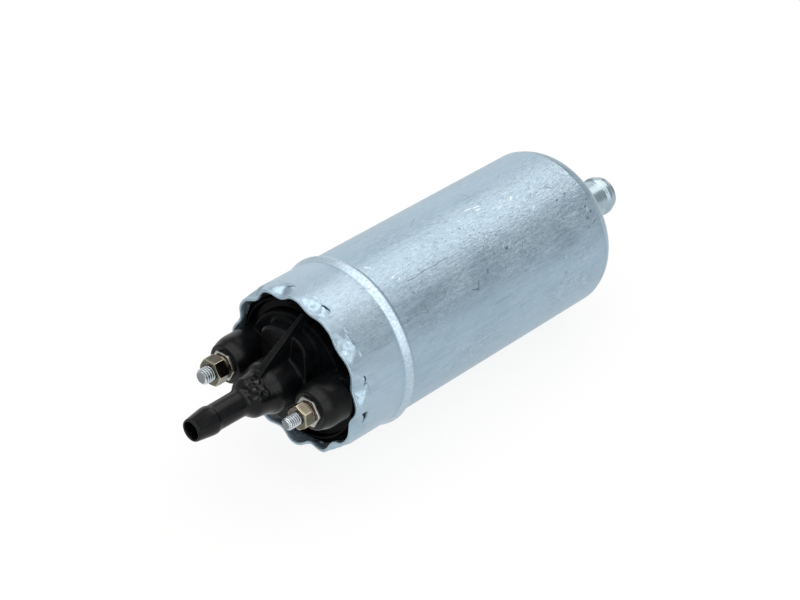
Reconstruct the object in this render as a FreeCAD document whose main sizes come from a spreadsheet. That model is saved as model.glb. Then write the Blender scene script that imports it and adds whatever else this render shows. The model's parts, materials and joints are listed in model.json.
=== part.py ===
import FreeCAD, Part
import Sketcher
import math
import os

# In-line electric fuel pump. Millimetres. +X runs along the axis out of the outlet, +Z is up,
# the two terminals lie on +Y and -Y, and the origin is the centre of the straight clamped barrel.

Vector = FreeCAD.Vector
Rotation = FreeCAD.Rotation
Placement = FreeCAD.Placement
Constraint = Sketcher.Constraint
doc = FreeCAD.newDocument("FuelPump")
sheet = doc.addObject("Spreadsheet::Sheet", "Dims")

DIMS = [
    # can
    ("barrel_radius", 26.0, "outside of the straight barrel"),
    ("barrel_bore", 24.8, "inside of the straight barrel"),
    ("collar_radius", 26.2, "outside of the collar between bead and rim"),
    ("collar_bore", 25.0, "inside of the collar"),
    ("can_closed_x", -50.7, "outside of the closed end"),
    ("can_wall", 1.2, "sheet thickness"),
    ("corner_radius", 7.7, "outside corner of the closed end"),
    ("bead_x", 44.5, "centre of the rolled bead"),
    ("bead_crest", 27.2, "crest radius of the rolled bead"),
    ("bead_half", 2.3, "half width of the rolled bead"),
    ("rim_start_x", 59.5, "where the rim starts to turn in"),
    ("rim_end_x", 66.4, "free edge of the rim"),
    ("rim_lobe_radius", 25.7, "outside of the rim edge between stakes"),
    ("rim_stake_depth", 1.7, "how far a stake pushes the edge in"),
    ("rim_wall", 1.0, "rim thickness at the free edge"),
    ("stake_count", 12.0, "stakes round the rim"),
    ("stake_phase", 8.7, "angle of the first stake from +Y, degrees"),
    ("inlet_radius", 6.0, "outside of the inlet spigot"),
    ("inlet_bore", 4.8, "inside of the inlet spigot"),
    ("inlet_bead", 6.45, "crest radius of the spigot's bead"),
    ("inlet_end_x", -74.9, "free end of the inlet spigot"),
    # cap
    ("cap_radius", 24.7, "outside of the cap's skirt"),
    ("cap_skirt_bore", 21.6, "inside of the cap's skirt"),
    ("cap_start_x", 46.5, "inner end of the cap's skirt"),
    ("cap_shoulder_x", 64.2, "shoulder held by the rim"),
    ("cap_wall_x", 60.0, "inside of the cap's end wall"),
    ("plateau_radius", 18.8, "raised disc"),
    ("plateau_x", 65.2, "face of the raised disc"),
    ("pedestal_radius", 16.0, "pedestal of the valve housing"),
    ("pedestal_flat", 9.2, "half width of the pedestal across its flats"),
    ("pedestal_corner", 2.6, "rounding of the pedestal's corners"),
    ("pedestal_x", 70.0, "face of the pedestal"),
    ("hub_radius", 8.0, "valve housing"),
    ("hub_x", 80.0, "end of the valve housing's full radius"),
    ("nose_radius", 6.4, "nose of the valve housing"),
    ("barb_root", 4.05, "outlet neck at the hub"),
    ("barb_neck", 3.98, "outlet neck behind the barb"),
    ("barb_land", 4.35, "widest land of the barb"),
    ("barb_land_x", 98.9, "position of the widest land"),
    ("barb_tip", 3.45, "tip of the barb"),
    ("outlet_end_x", 106.1, "free end of the outlet"),
    ("outlet_bore", 2.75, "bore of the outlet"),
    ("valve_bore", 5.2, "check valve chamber"),
    ("boss_radius", 7.35, "terminal boss"),
    ("boss_face_radius", 6.1, "terminal boss at its face"),
    ("boss_cone_x", 73.4, "where the boss starts to taper to its face"),
    ("boss_x", 77.0, "terminal boss face"),
    ("terminal_y", 17.5, "terminals from the axis"),
    ("rib_angle", 78.0, "angle of the gusset rib from +Y, degrees"),
    ("rib_width", 2.6, "gusset rib thickness at the valve housing"),
    ("rib_edge", 1.1, "gusset rib thickness at the rim"),
    ("oring_x", 55.0, "centre of the cap's O-ring"),
    ("oring_wire", 0.95, "section radius of the cap's O-ring"),
    # terminals
    ("stud_large", 2.45, "larger stud over its thread crests, at the free end"),
    ("stud_small", 1.97, "smaller stud over its thread crests, at the free end"),
    ("shank_large", 2.2, "larger stud at its pitch line, in the nut and the cap"),
    ("shank_small", 1.75, "smaller stud at its pitch line, in the nut and the cap"),
    ("free_large_x", 83.15, "where the larger stud's free end starts"),
    ("free_small_x", 82.15, "where the smaller stud's free end starts"),
    ("stud_end_x", 86.3, "free end of the studs"),
    ("stud_head_x", 57.6, "inner end of the studs"),
    ("plate_flats", 8.4, "terminal plate across flats"),
    ("plate_thick", 0.9, "terminal plate thickness"),
    ("nut_large_flats", 7.9, "larger nut across flats"),
    ("nut_large_height", 4.0, "larger nut height"),
    ("nut_small_flats", 6.9, "smaller nut across flats"),
    ("nut_small_height", 3.2, "smaller nut height"),
    ("lock_large", 1.1, "larger spring washer thickness"),
    ("lock_small", 0.9, "smaller spring washer thickness"),
    # pump cell
    ("plate_radius", 24.5, "pump plates and cam ring"),
    ("inlet_plate_x", -46.0, "inlet side of the inlet plate"),
    ("cam_x", -36.0, "inlet side of the cam ring"),
    ("base_x", -24.0, "inlet side of the base plate"),
    ("base_end_x", -17.0, "motor side of the base plate"),
    ("cam_bore", 16.0, "bore of the cam ring"),
    ("cam_offset", 1.8, "how far the cam bore sits above the axis"),
    ("rotor_radius", 14.0, "pump rotor"),
    ("rotor_gap", 0.1, "side clearance of the rotor"),
    ("roller_radius", 2.5, "pump roller"),
    ("roller_pitch", 10.85, "roller centre from the axis, fully in"),
    ("slot_clear", 0.05, "roller clearance in its slot"),
    ("shaft_radius", 2.5, "armature shaft"),
    ("shaft_start_x", -41.0, "inlet end of the shaft"),
    ("shaft_end_x", 49.5, "outlet end of the shaft"),
    ("bush_radius", 4.0, "bearing bush"),
    ("bush_bore", 2.54, "bore of the bearing bush"),
    ("relief_z", -19.5, "relief valve below the axis"),
    ("relief_hole", 1.6, "relief passage"),
    ("relief_chamber", 2.8, "relief valve chamber"),
    ("ball_radius", 2.2, "relief ball"),
    # motor
    ("tube_radius", 24.6, "flux tube"),
    ("tube_bore", 22.5, "bore of the flux tube"),
    ("tube_end_x", 43.0, "outlet end of the flux tube"),
    ("magnet_radius", 22.4, "outside of the magnets"),
    ("magnet_bore", 17.6, "inside of the magnets"),
    ("magnet_start_x", -9.0, "inlet end of the magnets"),
    ("magnet_end_x", 30.0, "outlet end of the magnets"),
    ("core_radius", 16.9, "armature core"),
    ("core_start_x", -6.0, "inlet end of the core"),
    ("core_end_x", 27.0, "outlet end of the core"),
    ("commutator_radius", 8.5, "commutator"),
    ("commutator_start_x", 32.0, "inlet end of the commutator"),
    ("commutator_end_x", 41.0, "outlet end of the commutator"),
    ("brush_width", 5.0, "brush across"),
    ("brush_length", 6.0, "brush along the axis"),
    ("brush_end_y", 14.6, "outer end of a new brush"),
    ("brush_x", 33.5, "inlet side of the brushes"),
]
D = {}
for row, (alias, value, note) in enumerate(DIMS, start=1):
    sheet.set("A%d" % row, alias)
    sheet.set("B%d" % row, str(value))
    sheet.set("C%d" % row, note)
    sheet.setAlias("B%d" % row, alias)
    D[alias] = value
doc.recompute()

NODES = {}


def val(spec):
    """A size: a number, a sheet alias, or (alias, offset[, factor])."""
    if isinstance(spec, str):
        return D[spec]
    if isinstance(spec, tuple):
        return D[spec[0]] * (spec[2] if len(spec) > 2 else 1.0) + spec[1]
    return float(spec)


def expr(spec):
    if isinstance(spec, str):
        return "Dims." + spec
    if isinstance(spec, tuple):
        text = "Dims." + spec[0]
        if len(spec) > 2:
            text = "%s * %.6g" % (text, spec[2])
        return "%s + %.6g" % (text, spec[1]) if spec[1] >= 0 else "%s - %.6g" % (text, -spec[1])
    return None


def bind(obj, prop, spec):
    text = expr(spec)
    if text:
        obj.setExpression(prop, text)


def new_body(label):
    body = doc.addObject("PartDesign::Body", label)
    body.Label = label
    body.Placement = Placement(Vector(0, 0, 0), Rotation())
    NODES[label] = body
    return body


def origin(body, role):
    for item in body.Origin.OriginFeatures:
        if item.Role == role:
            return item
    raise RuntimeError("no " + role)


def new_sketch(body, name, plane="XY_Plane", lift=0.0, turn=None):
    """A sketch on an origin plane. lift moves it along the plane's normal; turn is (axis, degrees)."""
    sk = body.newObject("Sketcher::SketchObject", name)
    sk.AttachmentSupport = [(origin(body, plane), "")]
    sk.MapMode = "FlatFace"
    rot = Rotation(turn[0], turn[1]) if turn else Rotation()
    sk.AttachmentOffset = Placement(rot.multVec(Vector(0, 0, val(lift))), rot)
    if not turn:
        bind(sk, "AttachmentOffset.Base.z", lift)
    return sk


def pin_point(sk, geo, pos, x, y):
    """Holds one end of an element at (x, y) with sizes taken from the sheet."""
    for kind, axis, spec in (("DistanceX", -2, x), ("DistanceY", -1, y)):
        if abs(val(spec)) < 1e-9:
            sk.addConstraint(Constraint("PointOnObject", geo, pos, axis))
        else:
            index = sk.addConstraint(Constraint(kind, geo, pos, val(spec)))
            text = expr(spec)
            if text:
                sk.setExpression("Constraints[%d]" % index, text)


def arc_through(p, m, q):
    """The arc from p over m to q, stored anticlockwise; forward says that it starts at p."""
    ax, ay, bx_, by_, cx_, cy_ = p[0], p[1], m[0], m[1], q[0], q[1]
    d = 2.0 * (ax * (by_ - cy_) + bx_ * (cy_ - ay) + cx_ * (ay - by_))
    ux = ((ax * ax + ay * ay) * (by_ - cy_) + (bx_ * bx_ + by_ * by_) * (cy_ - ay) + (cx_ * cx_ + cy_ * cy_) * (ay - by_)) / d
    uy = ((ax * ax + ay * ay) * (cx_ - bx_) + (bx_ * bx_ + by_ * by_) * (ax - cx_) + (cx_ * cx_ + cy_ * cy_) * (bx_ - ax)) / d
    r = math.hypot(ax - ux, ay - uy)
    a0 = math.atan2(ay - uy, ax - ux)
    am = math.atan2(by_ - uy, bx_ - ux)
    a1 = math.atan2(cy_ - uy, cx_ - ux)
    turn = 2.0 * math.pi
    forward = (am - a0) % turn < (a1 - a0) % turn
    start, stop = (a0, a1) if forward else (a1, a0)
    stop = start + (stop - start) % turn
    return Part.ArcOfCircle(Part.Circle(Vector(ux, uy, 0), Vector(0, 0, 1), r), start, stop), forward, r


def outline(sk, items):
    """A closed outline. Each item is (x, y) for a line to that point, or (x, y, mx, my) for an arc to it
    through (mx, my). The first item is the start point."""
    pts = [(val(i[0]), val(i[1])) for i in items]
    n = len(items)
    first = None
    ids = []
    for k in range(n):
        nxt = items[(k + 1) % n]
        p, q = pts[k], pts[(k + 1) % n]
        if len(nxt) == 4:
            arc, forward, radius = arc_through(p, (nxt[2], nxt[3]), q)
            geo = sk.addGeometry(arc, False)
            ids.append((geo, 1, 2) if forward else (geo, 2, 1))
            if math.hypot(q[0] - p[0], q[1] - p[1]) < 2.0 * radius - 1e-6:
                sk.addConstraint(Constraint("Radius", geo, radius))
        else:
            geo = sk.addGeometry(Part.LineSegment(Vector(p[0], p[1], 0), Vector(q[0], q[1], 0)), False)
            ids.append((geo, 1, 2))
    for k in range(n):
        a, b = ids[k], ids[(k + 1) % n]
        sk.addConstraint(Constraint("Coincident", a[0], a[2], b[0], b[1]))
    for k in range(n):
        pin_point(sk, ids[k][0], ids[k][1], items[k][0], items[k][1])
    return sk


def circle(sk, x, y, r):
    geo = sk.addGeometry(Part.Circle(Vector(val(x), val(y), 0), Vector(0, 0, 1), val(r)), False)
    pin_point(sk, geo, 3, x, y)
    index = sk.addConstraint(Constraint("Radius", geo, val(r)))
    if expr(r):
        sk.setExpression("Constraints[%d]" % index, expr(r))
    return geo


def rectangle(sk, x0, y0, x1, y1):
    return outline(sk, [(x0, y0), (x1, y0), (x1, y1), (x0, y1)])


def hexagon(sk, flats, first=0.0, cy=0.0):
    """A hexagon about (cy, 0) with its first corner at this angle."""
    r = val(flats) / math.sqrt(3.0)
    pts = [Vector(val(cy) + r * math.cos(math.radians(first + 60 * k)), r * math.sin(math.radians(first + 60 * k)), 0) for k in range(6)]
    ids = [sk.addGeometry(Part.LineSegment(pts[k], pts[(k + 1) % 6]), False) for k in range(6)]
    for k in range(6):
        sk.addConstraint(Constraint("Coincident", ids[k], 2, ids[(k + 1) % 6], 1))
    ring = sk.addGeometry(Part.Circle(Vector(val(cy), 0, 0), Vector(0, 0, 1), r), True)
    for k in range(6):
        sk.addConstraint(Constraint("PointOnObject", ids[k], 1, ring))
    for k in range(5):
        sk.addConstraint(Constraint("Equal", ids[k], ids[k + 1]))
    pin_point(sk, ring, 3, cy, 0.0)
    index = sk.addConstraint(Constraint("Radius", ring, r))
    sk.setExpression("Constraints[%d]" % index, expr(flats) + " / 1.7320508")
    if abs(first) < 1e-9:
        sk.addConstraint(Constraint("Horizontal", ids[1]))
    return sk


def revolve(body, sk, name="Turned", cut=False):
    if cut:
        doc.recompute()
        before = body.Shape.Volume
    kind = "PartDesign::Groove" if cut else "PartDesign::Revolution"
    feat = body.newObject(kind, name)
    feat.Profile = sk
    feat.ReferenceAxis = (sk, ["H_Axis"])
    feat.Angle = 360.0
    sk.Visibility = False
    if cut:
        doc.recompute()
        if body.Shape.Volume >= before - 1e-6:
            raise RuntimeError("%s/%s cut nothing" % (body.Label, name))
    return feat


def pad(body, sk, length, name="Pad", middle=False, back=False):
    feat = body.newObject("PartDesign::Pad", name)
    feat.Profile = sk
    feat.Length = val(length)
    bind(feat, "Length", length)
    feat.Reversed = back
    if middle:
        feat.Midplane = True
    return feat


def pocket(body, sk, length, name="Pocket", back=False, middle=False):
    """Cuts against the sketch's normal, or along it with back."""
    doc.recompute()
    before = body.Shape.Volume
    feat = body.newObject("PartDesign::Pocket", name)
    feat.Profile = sk
    feat.Length = val(length)
    bind(feat, "Length", length)
    feat.Reversed = back
    if middle:
        feat.Midplane = True
    doc.recompute()
    if body.Shape.Volume >= before - 1e-6:
        raise RuntimeError("%s/%s cut nothing" % (body.Label, name))
    return feat


def polar(body, feats, count, name="Around"):
    pat = body.newObject("PartDesign::PolarPattern", name)
    pat.Originals = feats
    pat.Axis = (origin(body, "X_Axis"), [""])
    pat.Angle = 360.0
    pat.Occurrences = count
    body.Tip = pat
    return pat


def closed_spline(sk, radius_at, samples=72):
    pts = []
    for k in range(samples):
        t = 2 * math.pi * k / samples
        r = radius_at(math.degrees(t))
        pts.append(Vector(r * math.cos(t), r * math.sin(t), 0))
    curve = Part.BSplineCurve()
    curve.interpolate(Points=pts, PeriodicFlag=True)
    sk.addGeometry(curve, False)


def x_cylinder(name, radius, start, end_or_len, y=0.0, z=0.0):
    """A Part cylinder along +X from start, its length the second size."""
    cyl = doc.addObject("Part::Cylinder", name)
    cyl.Radius = val(radius)
    bind(cyl, "Radius", radius)
    cyl.Height = val(end_or_len)
    bind(cyl, "Height", end_or_len)
    cyl.Placement = Placement(Vector(val(start), val(y), val(z)), Rotation(Vector(0, 1, 0), 90))
    bind(cyl, "Placement.Base.x", start)
    bind(cyl, "Placement.Base.y", y)
    bind(cyl, "Placement.Base.z", z)
    return cyl


def box(name, x0, y0, z0, dx, dy, dz):
    b = doc.addObject("Part::Box", name)
    for prop, spec in (("Length", dx), ("Width", dy), ("Height", dz)):
        setattr(b, prop, val(spec))
        bind(b, prop, spec)
    b.Placement = Placement(Vector(val(x0), val(y0), val(z0)), Rotation())
    bind(b, "Placement.Base.x", x0)
    bind(b, "Placement.Base.y", y0)
    bind(b, "Placement.Base.z", z0)
    return b


def cut(label, base, tool, node=True):
    feat = doc.addObject("Part::Cut", label)
    feat.Base = base
    feat.Tool = tool
    if node:
        feat.Label = label
        NODES[label] = feat
    return feat


def spring(label, start, length, coil, wire, turns, y=0.0, z=0.0, turn=None):
    """A wound spring along +X from start, or turned about its own start point by turn."""
    helix = doc.addObject("Part::Helix", label + "_path")
    helix.Height = length - 2 * wire
    helix.Pitch = (length - 2 * wire) / turns
    helix.Radius = coil
    rot = turn if turn else Rotation(Vector(0, 1, 0), 90)
    base = Vector(start, y, z) + rot.multVec(Vector(0, 0, wire))
    helix.Placement = Placement(base, rot)
    ring = doc.addObject("Part::Circle", label + "_wire")
    ring.Radius = wire
    slope = math.atan2(helix.Pitch.Value, 2 * math.pi * coil)
    local = Placement(Vector(coil, 0, 0), Rotation(Vector(1, 0, 0), 90 + math.degrees(slope)))
    ring.Placement = Placement(base, rot).multiply(local)
    doc.recompute()
    sweep = doc.addObject("Part::Sweep", label)
    sweep.Sections = [ring]
    sweep.Spine = (helix, ["Edge%d" % (i + 1) for i in range(len(helix.Shape.Edges))])
    sweep.Solid = True
    sweep.Frenet = True
    sweep.Label = label
    NODES[label] = sweep
    return sweep


# ---------------------------------------------------------------- can
can = new_body("housing_can")
sk = new_sketch(can, "CanProfile")
# outside from the tube's hole, over closed end, barrel, bead and collar, then back along the inside
cx = D["can_closed_x"]
cr = D["corner_radius"]
br = D["barrel_radius"]
bb = D["barrel_bore"]
bx = D["bead_x"]
bh = D["bead_half"]
q = math.sqrt(0.5)
icr = cr - D["can_wall"]
outline(sk, [
    ("can_closed_x", ("inlet_radius", 0.02)),
    ("can_closed_x", ("barrel_radius", -cr)),
    (("can_closed_x", cr), "barrel_radius", cx + cr - cr * q, br - cr + cr * q),
    (("bead_x", -bh), "barrel_radius"),
    (("bead_x", bh), "collar_radius", bx, D["bead_crest"]),
    ("rim_start_x", "collar_radius"),
    ("rim_start_x", "collar_bore"),
    (("bead_x", bh), "collar_bore"),
    (("bead_x", -bh), "barrel_bore", bx, D["bead_crest"] - 1.15),
    (("can_closed_x", cr), "barrel_bore"),
    (("can_closed_x", 1.2), ("barrel_bore", -icr), cx + cr - icr * q, bb - icr + icr * q),
    (("can_closed_x", 1.2), ("inlet_radius", 0.02)),
])
revolve(can, sk, "Drawn")


def wave(lobe, depth):
    def radius_at(angle):
        c = 0.5 + 0.5 * math.cos(math.radians((angle - D["stake_phase"]) * D["stake_count"]))
        return lobe - depth * c ** 1.3
    return radius_at


def rim_sections(body, tag, thin):
    """Cross-sections of the rim from the round collar to the staked free edge; thin goes inwards."""
    out = []
    xs, xe = D["rim_start_x"], D["rim_end_x"]
    mid = D["collar_radius"]
    edge = D["rim_lobe_radius"]
    depth = D["rim_stake_depth"]
    for k, (x, lobe, dent, wall) in enumerate((
        (xs, mid, 0.0, D["can_wall"]),
        (xs + 0.35 * (xe - xs), mid - 0.02, 0.12 * depth, D["can_wall"]),
        (xs + 0.72 * (xe - xs), mid - 0.15, 0.66 * depth, D["can_wall"] - 0.1),
        (xe, edge, depth, D["rim_wall"]),
    )):
        sk = new_sketch(body, "%s%d" % (tag, k), "YZ_Plane", x)
        closed_spline(sk, wave(lobe - (wall if thin else 0.0), dent))
        sk.Visibility = False
        out.append(sk)
    return out


outer = rim_sections(can, "RimOuter", False)
loft = can.newObject("PartDesign::AdditiveLoft", "RimTurned")
loft.Profile = outer[0]
loft.Sections = outer[1:]
doc.recompute()
inner = rim_sections(can, "RimInner", True)
hollow = can.newObject("PartDesign::SubtractiveLoft", "RimHollow")
hollow.Profile = inner[0]
hollow.Sections = inner[1:]
doc.recompute()
# one lanced triangle behind each stake, open towards the closed end
lift = D["collar_radius"] + 1.0
stake = new_sketch(can, "StakeMark", "XY_Plane", lift, (Vector(1, 0, 0), D["stake_phase"]))
outline(stake, [(62.3, 1.25), (64.9, 0.0), (62.3, -1.25)])
mark = pocket(can, stake, 3.1, "StakeCut")
polar(can, [mark], int(D["stake_count"]), "Stakes")
doc.recompute()

# ---------------------------------------------------------------- inlet tube, clinched into the closed end
tube_in = new_body("inlet_tube")
sk = new_sketch(tube_in, "TubeProfile")
ix = D["inlet_end_x"]
outline(sk, [
    (("inlet_end_x", 0.0), "inlet_bore"),
    (("inlet_end_x", 0.0), ("inlet_radius", -0.75)),
    (("inlet_end_x", 0.5), ("inlet_radius", -0.28), ix + 0.12, D["inlet_radius"] - 0.4),
    (("inlet_end_x", 1.3), ("inlet_radius", -0.28)),
    (("inlet_end_x", 1.9), ("inlet_radius", -0.05)),
    (("inlet_end_x", 2.5), "inlet_bead", ix + 2.08, D["inlet_bead"] - 0.17),
    (("inlet_end_x", 3.7), "inlet_bead"),
    (("inlet_end_x", 4.3), ("inlet_radius", -0.05), ix + 4.12, D["inlet_bead"] - 0.17),
    (("inlet_end_x", 5.0), "inlet_radius"),
    (("can_closed_x", -1.6), "inlet_radius"),
    (("can_closed_x", -0.01), ("inlet_radius", 1.6), cx - 1.6 + 1.6 * q, D["inlet_radius"] + 1.6 - 1.6 * q),
    (("can_closed_x", -0.01), "inlet_radius"),
    (("can_closed_x", 1.21), "inlet_radius"),
    (("can_closed_x", 1.21), ("inlet_radius", 1.2)),
    (("can_closed_x", 1.7), ("inlet_radius", 0.7)),
    (("can_closed_x", 1.7), ("inlet_bore", 0.3)),
    (("can_closed_x", 1.4), "inlet_bore"),
])
revolve(tube_in, sk, "Drawn")

# ---------------------------------------------------------------- cap
cap = new_body("outlet_cap")
sk = new_sketch(cap, "CapProfile")
outline(sk, [
    ("cap_start_x", "cap_skirt_bore"),
    ("cap_start_x", ("cap_radius", -0.6)),
    (("cap_start_x", 0.6), "cap_radius"),
    (("oring_x", -1.25), "cap_radius"),
    (("oring_x", -1.25), 22.75),
    (("oring_x", 1.25), 22.75),
    (("oring_x", 1.25), "cap_radius"),
    (("cap_shoulder_x", -2.3), "cap_radius"),
    ("cap_shoulder_x", ("cap_radius", -1.9)),
    ("cap_shoulder_x", ("cap_radius", -2.7)),
    (("cap_shoulder_x", -2.0), ("cap_radius", -3.1)),
    (("cap_shoulder_x", -2.0), ("plateau_radius", 1.0)),
    (("cap_shoulder_x", -1.2), "plateau_radius"),
    (("plateau_x", -0.5), "plateau_radius"),
    ("plateau_x", ("plateau_radius", -0.5)),
    ("plateau_x", ("hub_radius", 0.4)),
    ("pedestal_x", ("hub_radius", 0.2)),
    (("hub_x", -1.6), "hub_radius"),
    (("hub_x", -1.0), ("nose_radius", 0.35)),
    (("hub_x", 3.6), ("nose_radius", -0.1)),
    (85.9, 5.1, 85.0, 5.85),
    (88.2, "barb_root", 86.9, 4.38),
    (("barb_land_x", -0.9), "barb_neck"),
    (("barb_land_x", -0.5), "barb_land"),
    (("barb_land_x", 0.7), "barb_land"),
    (("outlet_end_x", -0.35), ("barb_tip", 0.05)),
    ("outlet_end_x", ("barb_tip", -0.25)),
    ("outlet_end_x", ("outlet_bore", 0.2)),
    (("outlet_end_x", -0.3), "outlet_bore"),
    (("hub_x", -0.5), "outlet_bore"),
    (("hub_x", -0.5), "valve_bore"),
    ("cap_wall_x", "valve_bore"),
    ("cap_wall_x", "cap_skirt_bore"),
])
revolve(cap, sk, "Moulded")
# pedestal: a disc with flats towards both terminals, clear of the valve chamber
sk = new_sketch(cap, "Pedestal", "YZ_Plane", ("cap_shoulder_x", -1.2))
pf = D["pedestal_flat"]
pr = D["pedestal_radius"]
pc = D["pedestal_corner"]
pz = math.sqrt((pr - pc) ** 2 - (pf - pc) ** 2)
py = pf - pc
kr = pr / (pr - pc)
ty, tz = py * kr, pz * kr
half = 0.5 * math.atan2(pz, py)
my, mz = py + pc * math.cos(half), pz + pc * math.sin(half)
outline(sk, [
    ("pedestal_flat", -pz, my, -mz),
    ("pedestal_flat", pz),
    (ty, tz, my, mz),
    (-ty, tz, 0.0, pr),
    (("pedestal_flat", 0.0, -1.0), pz, -my, mz),
    (("pedestal_flat", 0.0, -1.0), -pz),
    (-ty, -tz, -my, -mz),
    (ty, -tz, 0.0, -pr),
])
circle(sk, 0.0, 0.0, ("hub_radius", -1.4))
step = pad(cap, sk, D["pedestal_x"] - D["cap_shoulder_x"] + 1.2, "PedestalPad")
step.setExpression("Length", "Dims.pedestal_x - Dims.cap_shoulder_x + 1.2")
# terminal bosses
sk = new_sketch(cap, "Bosses", "YZ_Plane", ("cap_wall_x", 1.0))
circle(sk, "terminal_y", 0.0, "boss_radius")
circle(sk, ("terminal_y", 0.0, -1.0), 0.0, "boss_radius")
towers = pad(cap, sk, D["boss_cone_x"] - D["cap_wall_x"] - 1.0, "BossPad")
towers.setExpression("Length", "Dims.boss_cone_x - Dims.cap_wall_x - 1")
sk = new_sketch(cap, "BossTops", "YZ_Plane", "boss_cone_x")
circle(sk, "terminal_y", 0.0, "boss_radius")
circle(sk, ("terminal_y", 0.0, -1.0), 0.0, "boss_radius")
tops = pad(cap, sk, D["boss_x"] - D["boss_cone_x"], "BossTopPad")
tops.setExpression("Length", "Dims.boss_x - Dims.boss_cone_x")
tops.TaperAngle = -math.degrees(math.atan2(D["boss_radius"] - D["boss_face_radius"], D["boss_x"] - D["boss_cone_x"]))
tops.setExpression("TaperAngle", "-atan((Dims.boss_radius - Dims.boss_face_radius) / (Dims.boss_x - Dims.boss_cone_x))")
# the bosses are cut back level with the shoulder, so that the staked rim clears them
sk = new_sketch(cap, "RimRelief")
outline(sk, [
    (("cap_shoulder_x", -2.3), "cap_radius"),
    ("cap_shoulder_x", ("cap_radius", -1.9)),
    (("cap_shoulder_x", 2.7), ("cap_radius", -1.9)),
    (("cap_shoulder_x", 2.7), ("cap_radius", 1.8)),
    (("cap_shoulder_x", -3.3), ("cap_radius", 1.8)),
    (("cap_shoulder_x", -3.3), "cap_radius"),
])
revolve(cap, sk, "RimReliefCut", cut=True)
# stud holes
sk = new_sketch(cap, "StudHoles", "YZ_Plane", "boss_x")
circle(sk, "terminal_y", 0.0, ("shank_small", 0.03))
circle(sk, ("terminal_y", 0.0, -1.0), 0.0, ("shank_large", 0.03))
pocket(cap, sk, D["boss_x"] - D["cap_wall_x"] + 1.0, "StudHole")
# gusset rib, thin at the rim and thicker at the valve housing, with a sloping back
ra = math.radians(D["rib_angle"])


def on_rib(u, v):
    return (u * math.cos(ra) - v * math.sin(ra), u * math.sin(ra) + v * math.cos(ra))


sk = new_sketch(cap, "Rib", "YZ_Plane", 61.5)
rw = 0.5 * D["rib_width"]
re_ = 0.5 * D["rib_edge"]
outline(sk, [on_rib(6.3, -rw), on_rib(22.2, -re_), on_rib(22.2, re_), on_rib(6.3, rw)])
pad(cap, sk, 20.5, "RibPad")
doc.recompute()
sk = new_sketch(cap, "RibSlope", "XY_Plane", 0.0, (Vector(1, 0, 0), D["rib_angle"]))
outline(sk, [(66.0, 22.3), (82.1, 7.71), (82.1, 22.3)])
pocket(cap, sk, 6.0, "RibSlopeCut", middle=True)
doc.recompute()

# ---------------------------------------------------------------- seal and terminals
seal = doc.addObject("Part::Torus", "cap_o_ring")
seal.Label = "cap_o_ring"
seal.Radius1 = 22.8 + D["oring_wire"]
seal.Radius2 = D["oring_wire"]
seal.setExpression("Radius1", "22.8 + Dims.oring_wire")
seal.setExpression("Radius2", "Dims.oring_wire")
seal.Placement = Placement(Vector(D["oring_x"], 0, 0), Rotation(Vector(0, 1, 0), 90))
seal.setExpression("Placement.Base.x", "Dims.oring_x")
NODES["cap_o_ring"] = seal

washer = new_body("wave_washer")
sk = new_sketch(washer, "WasherProfile")
rectangle(sk, 45.65, 21.9, 46.35, "tube_radius")
revolve(washer, sk)

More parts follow.
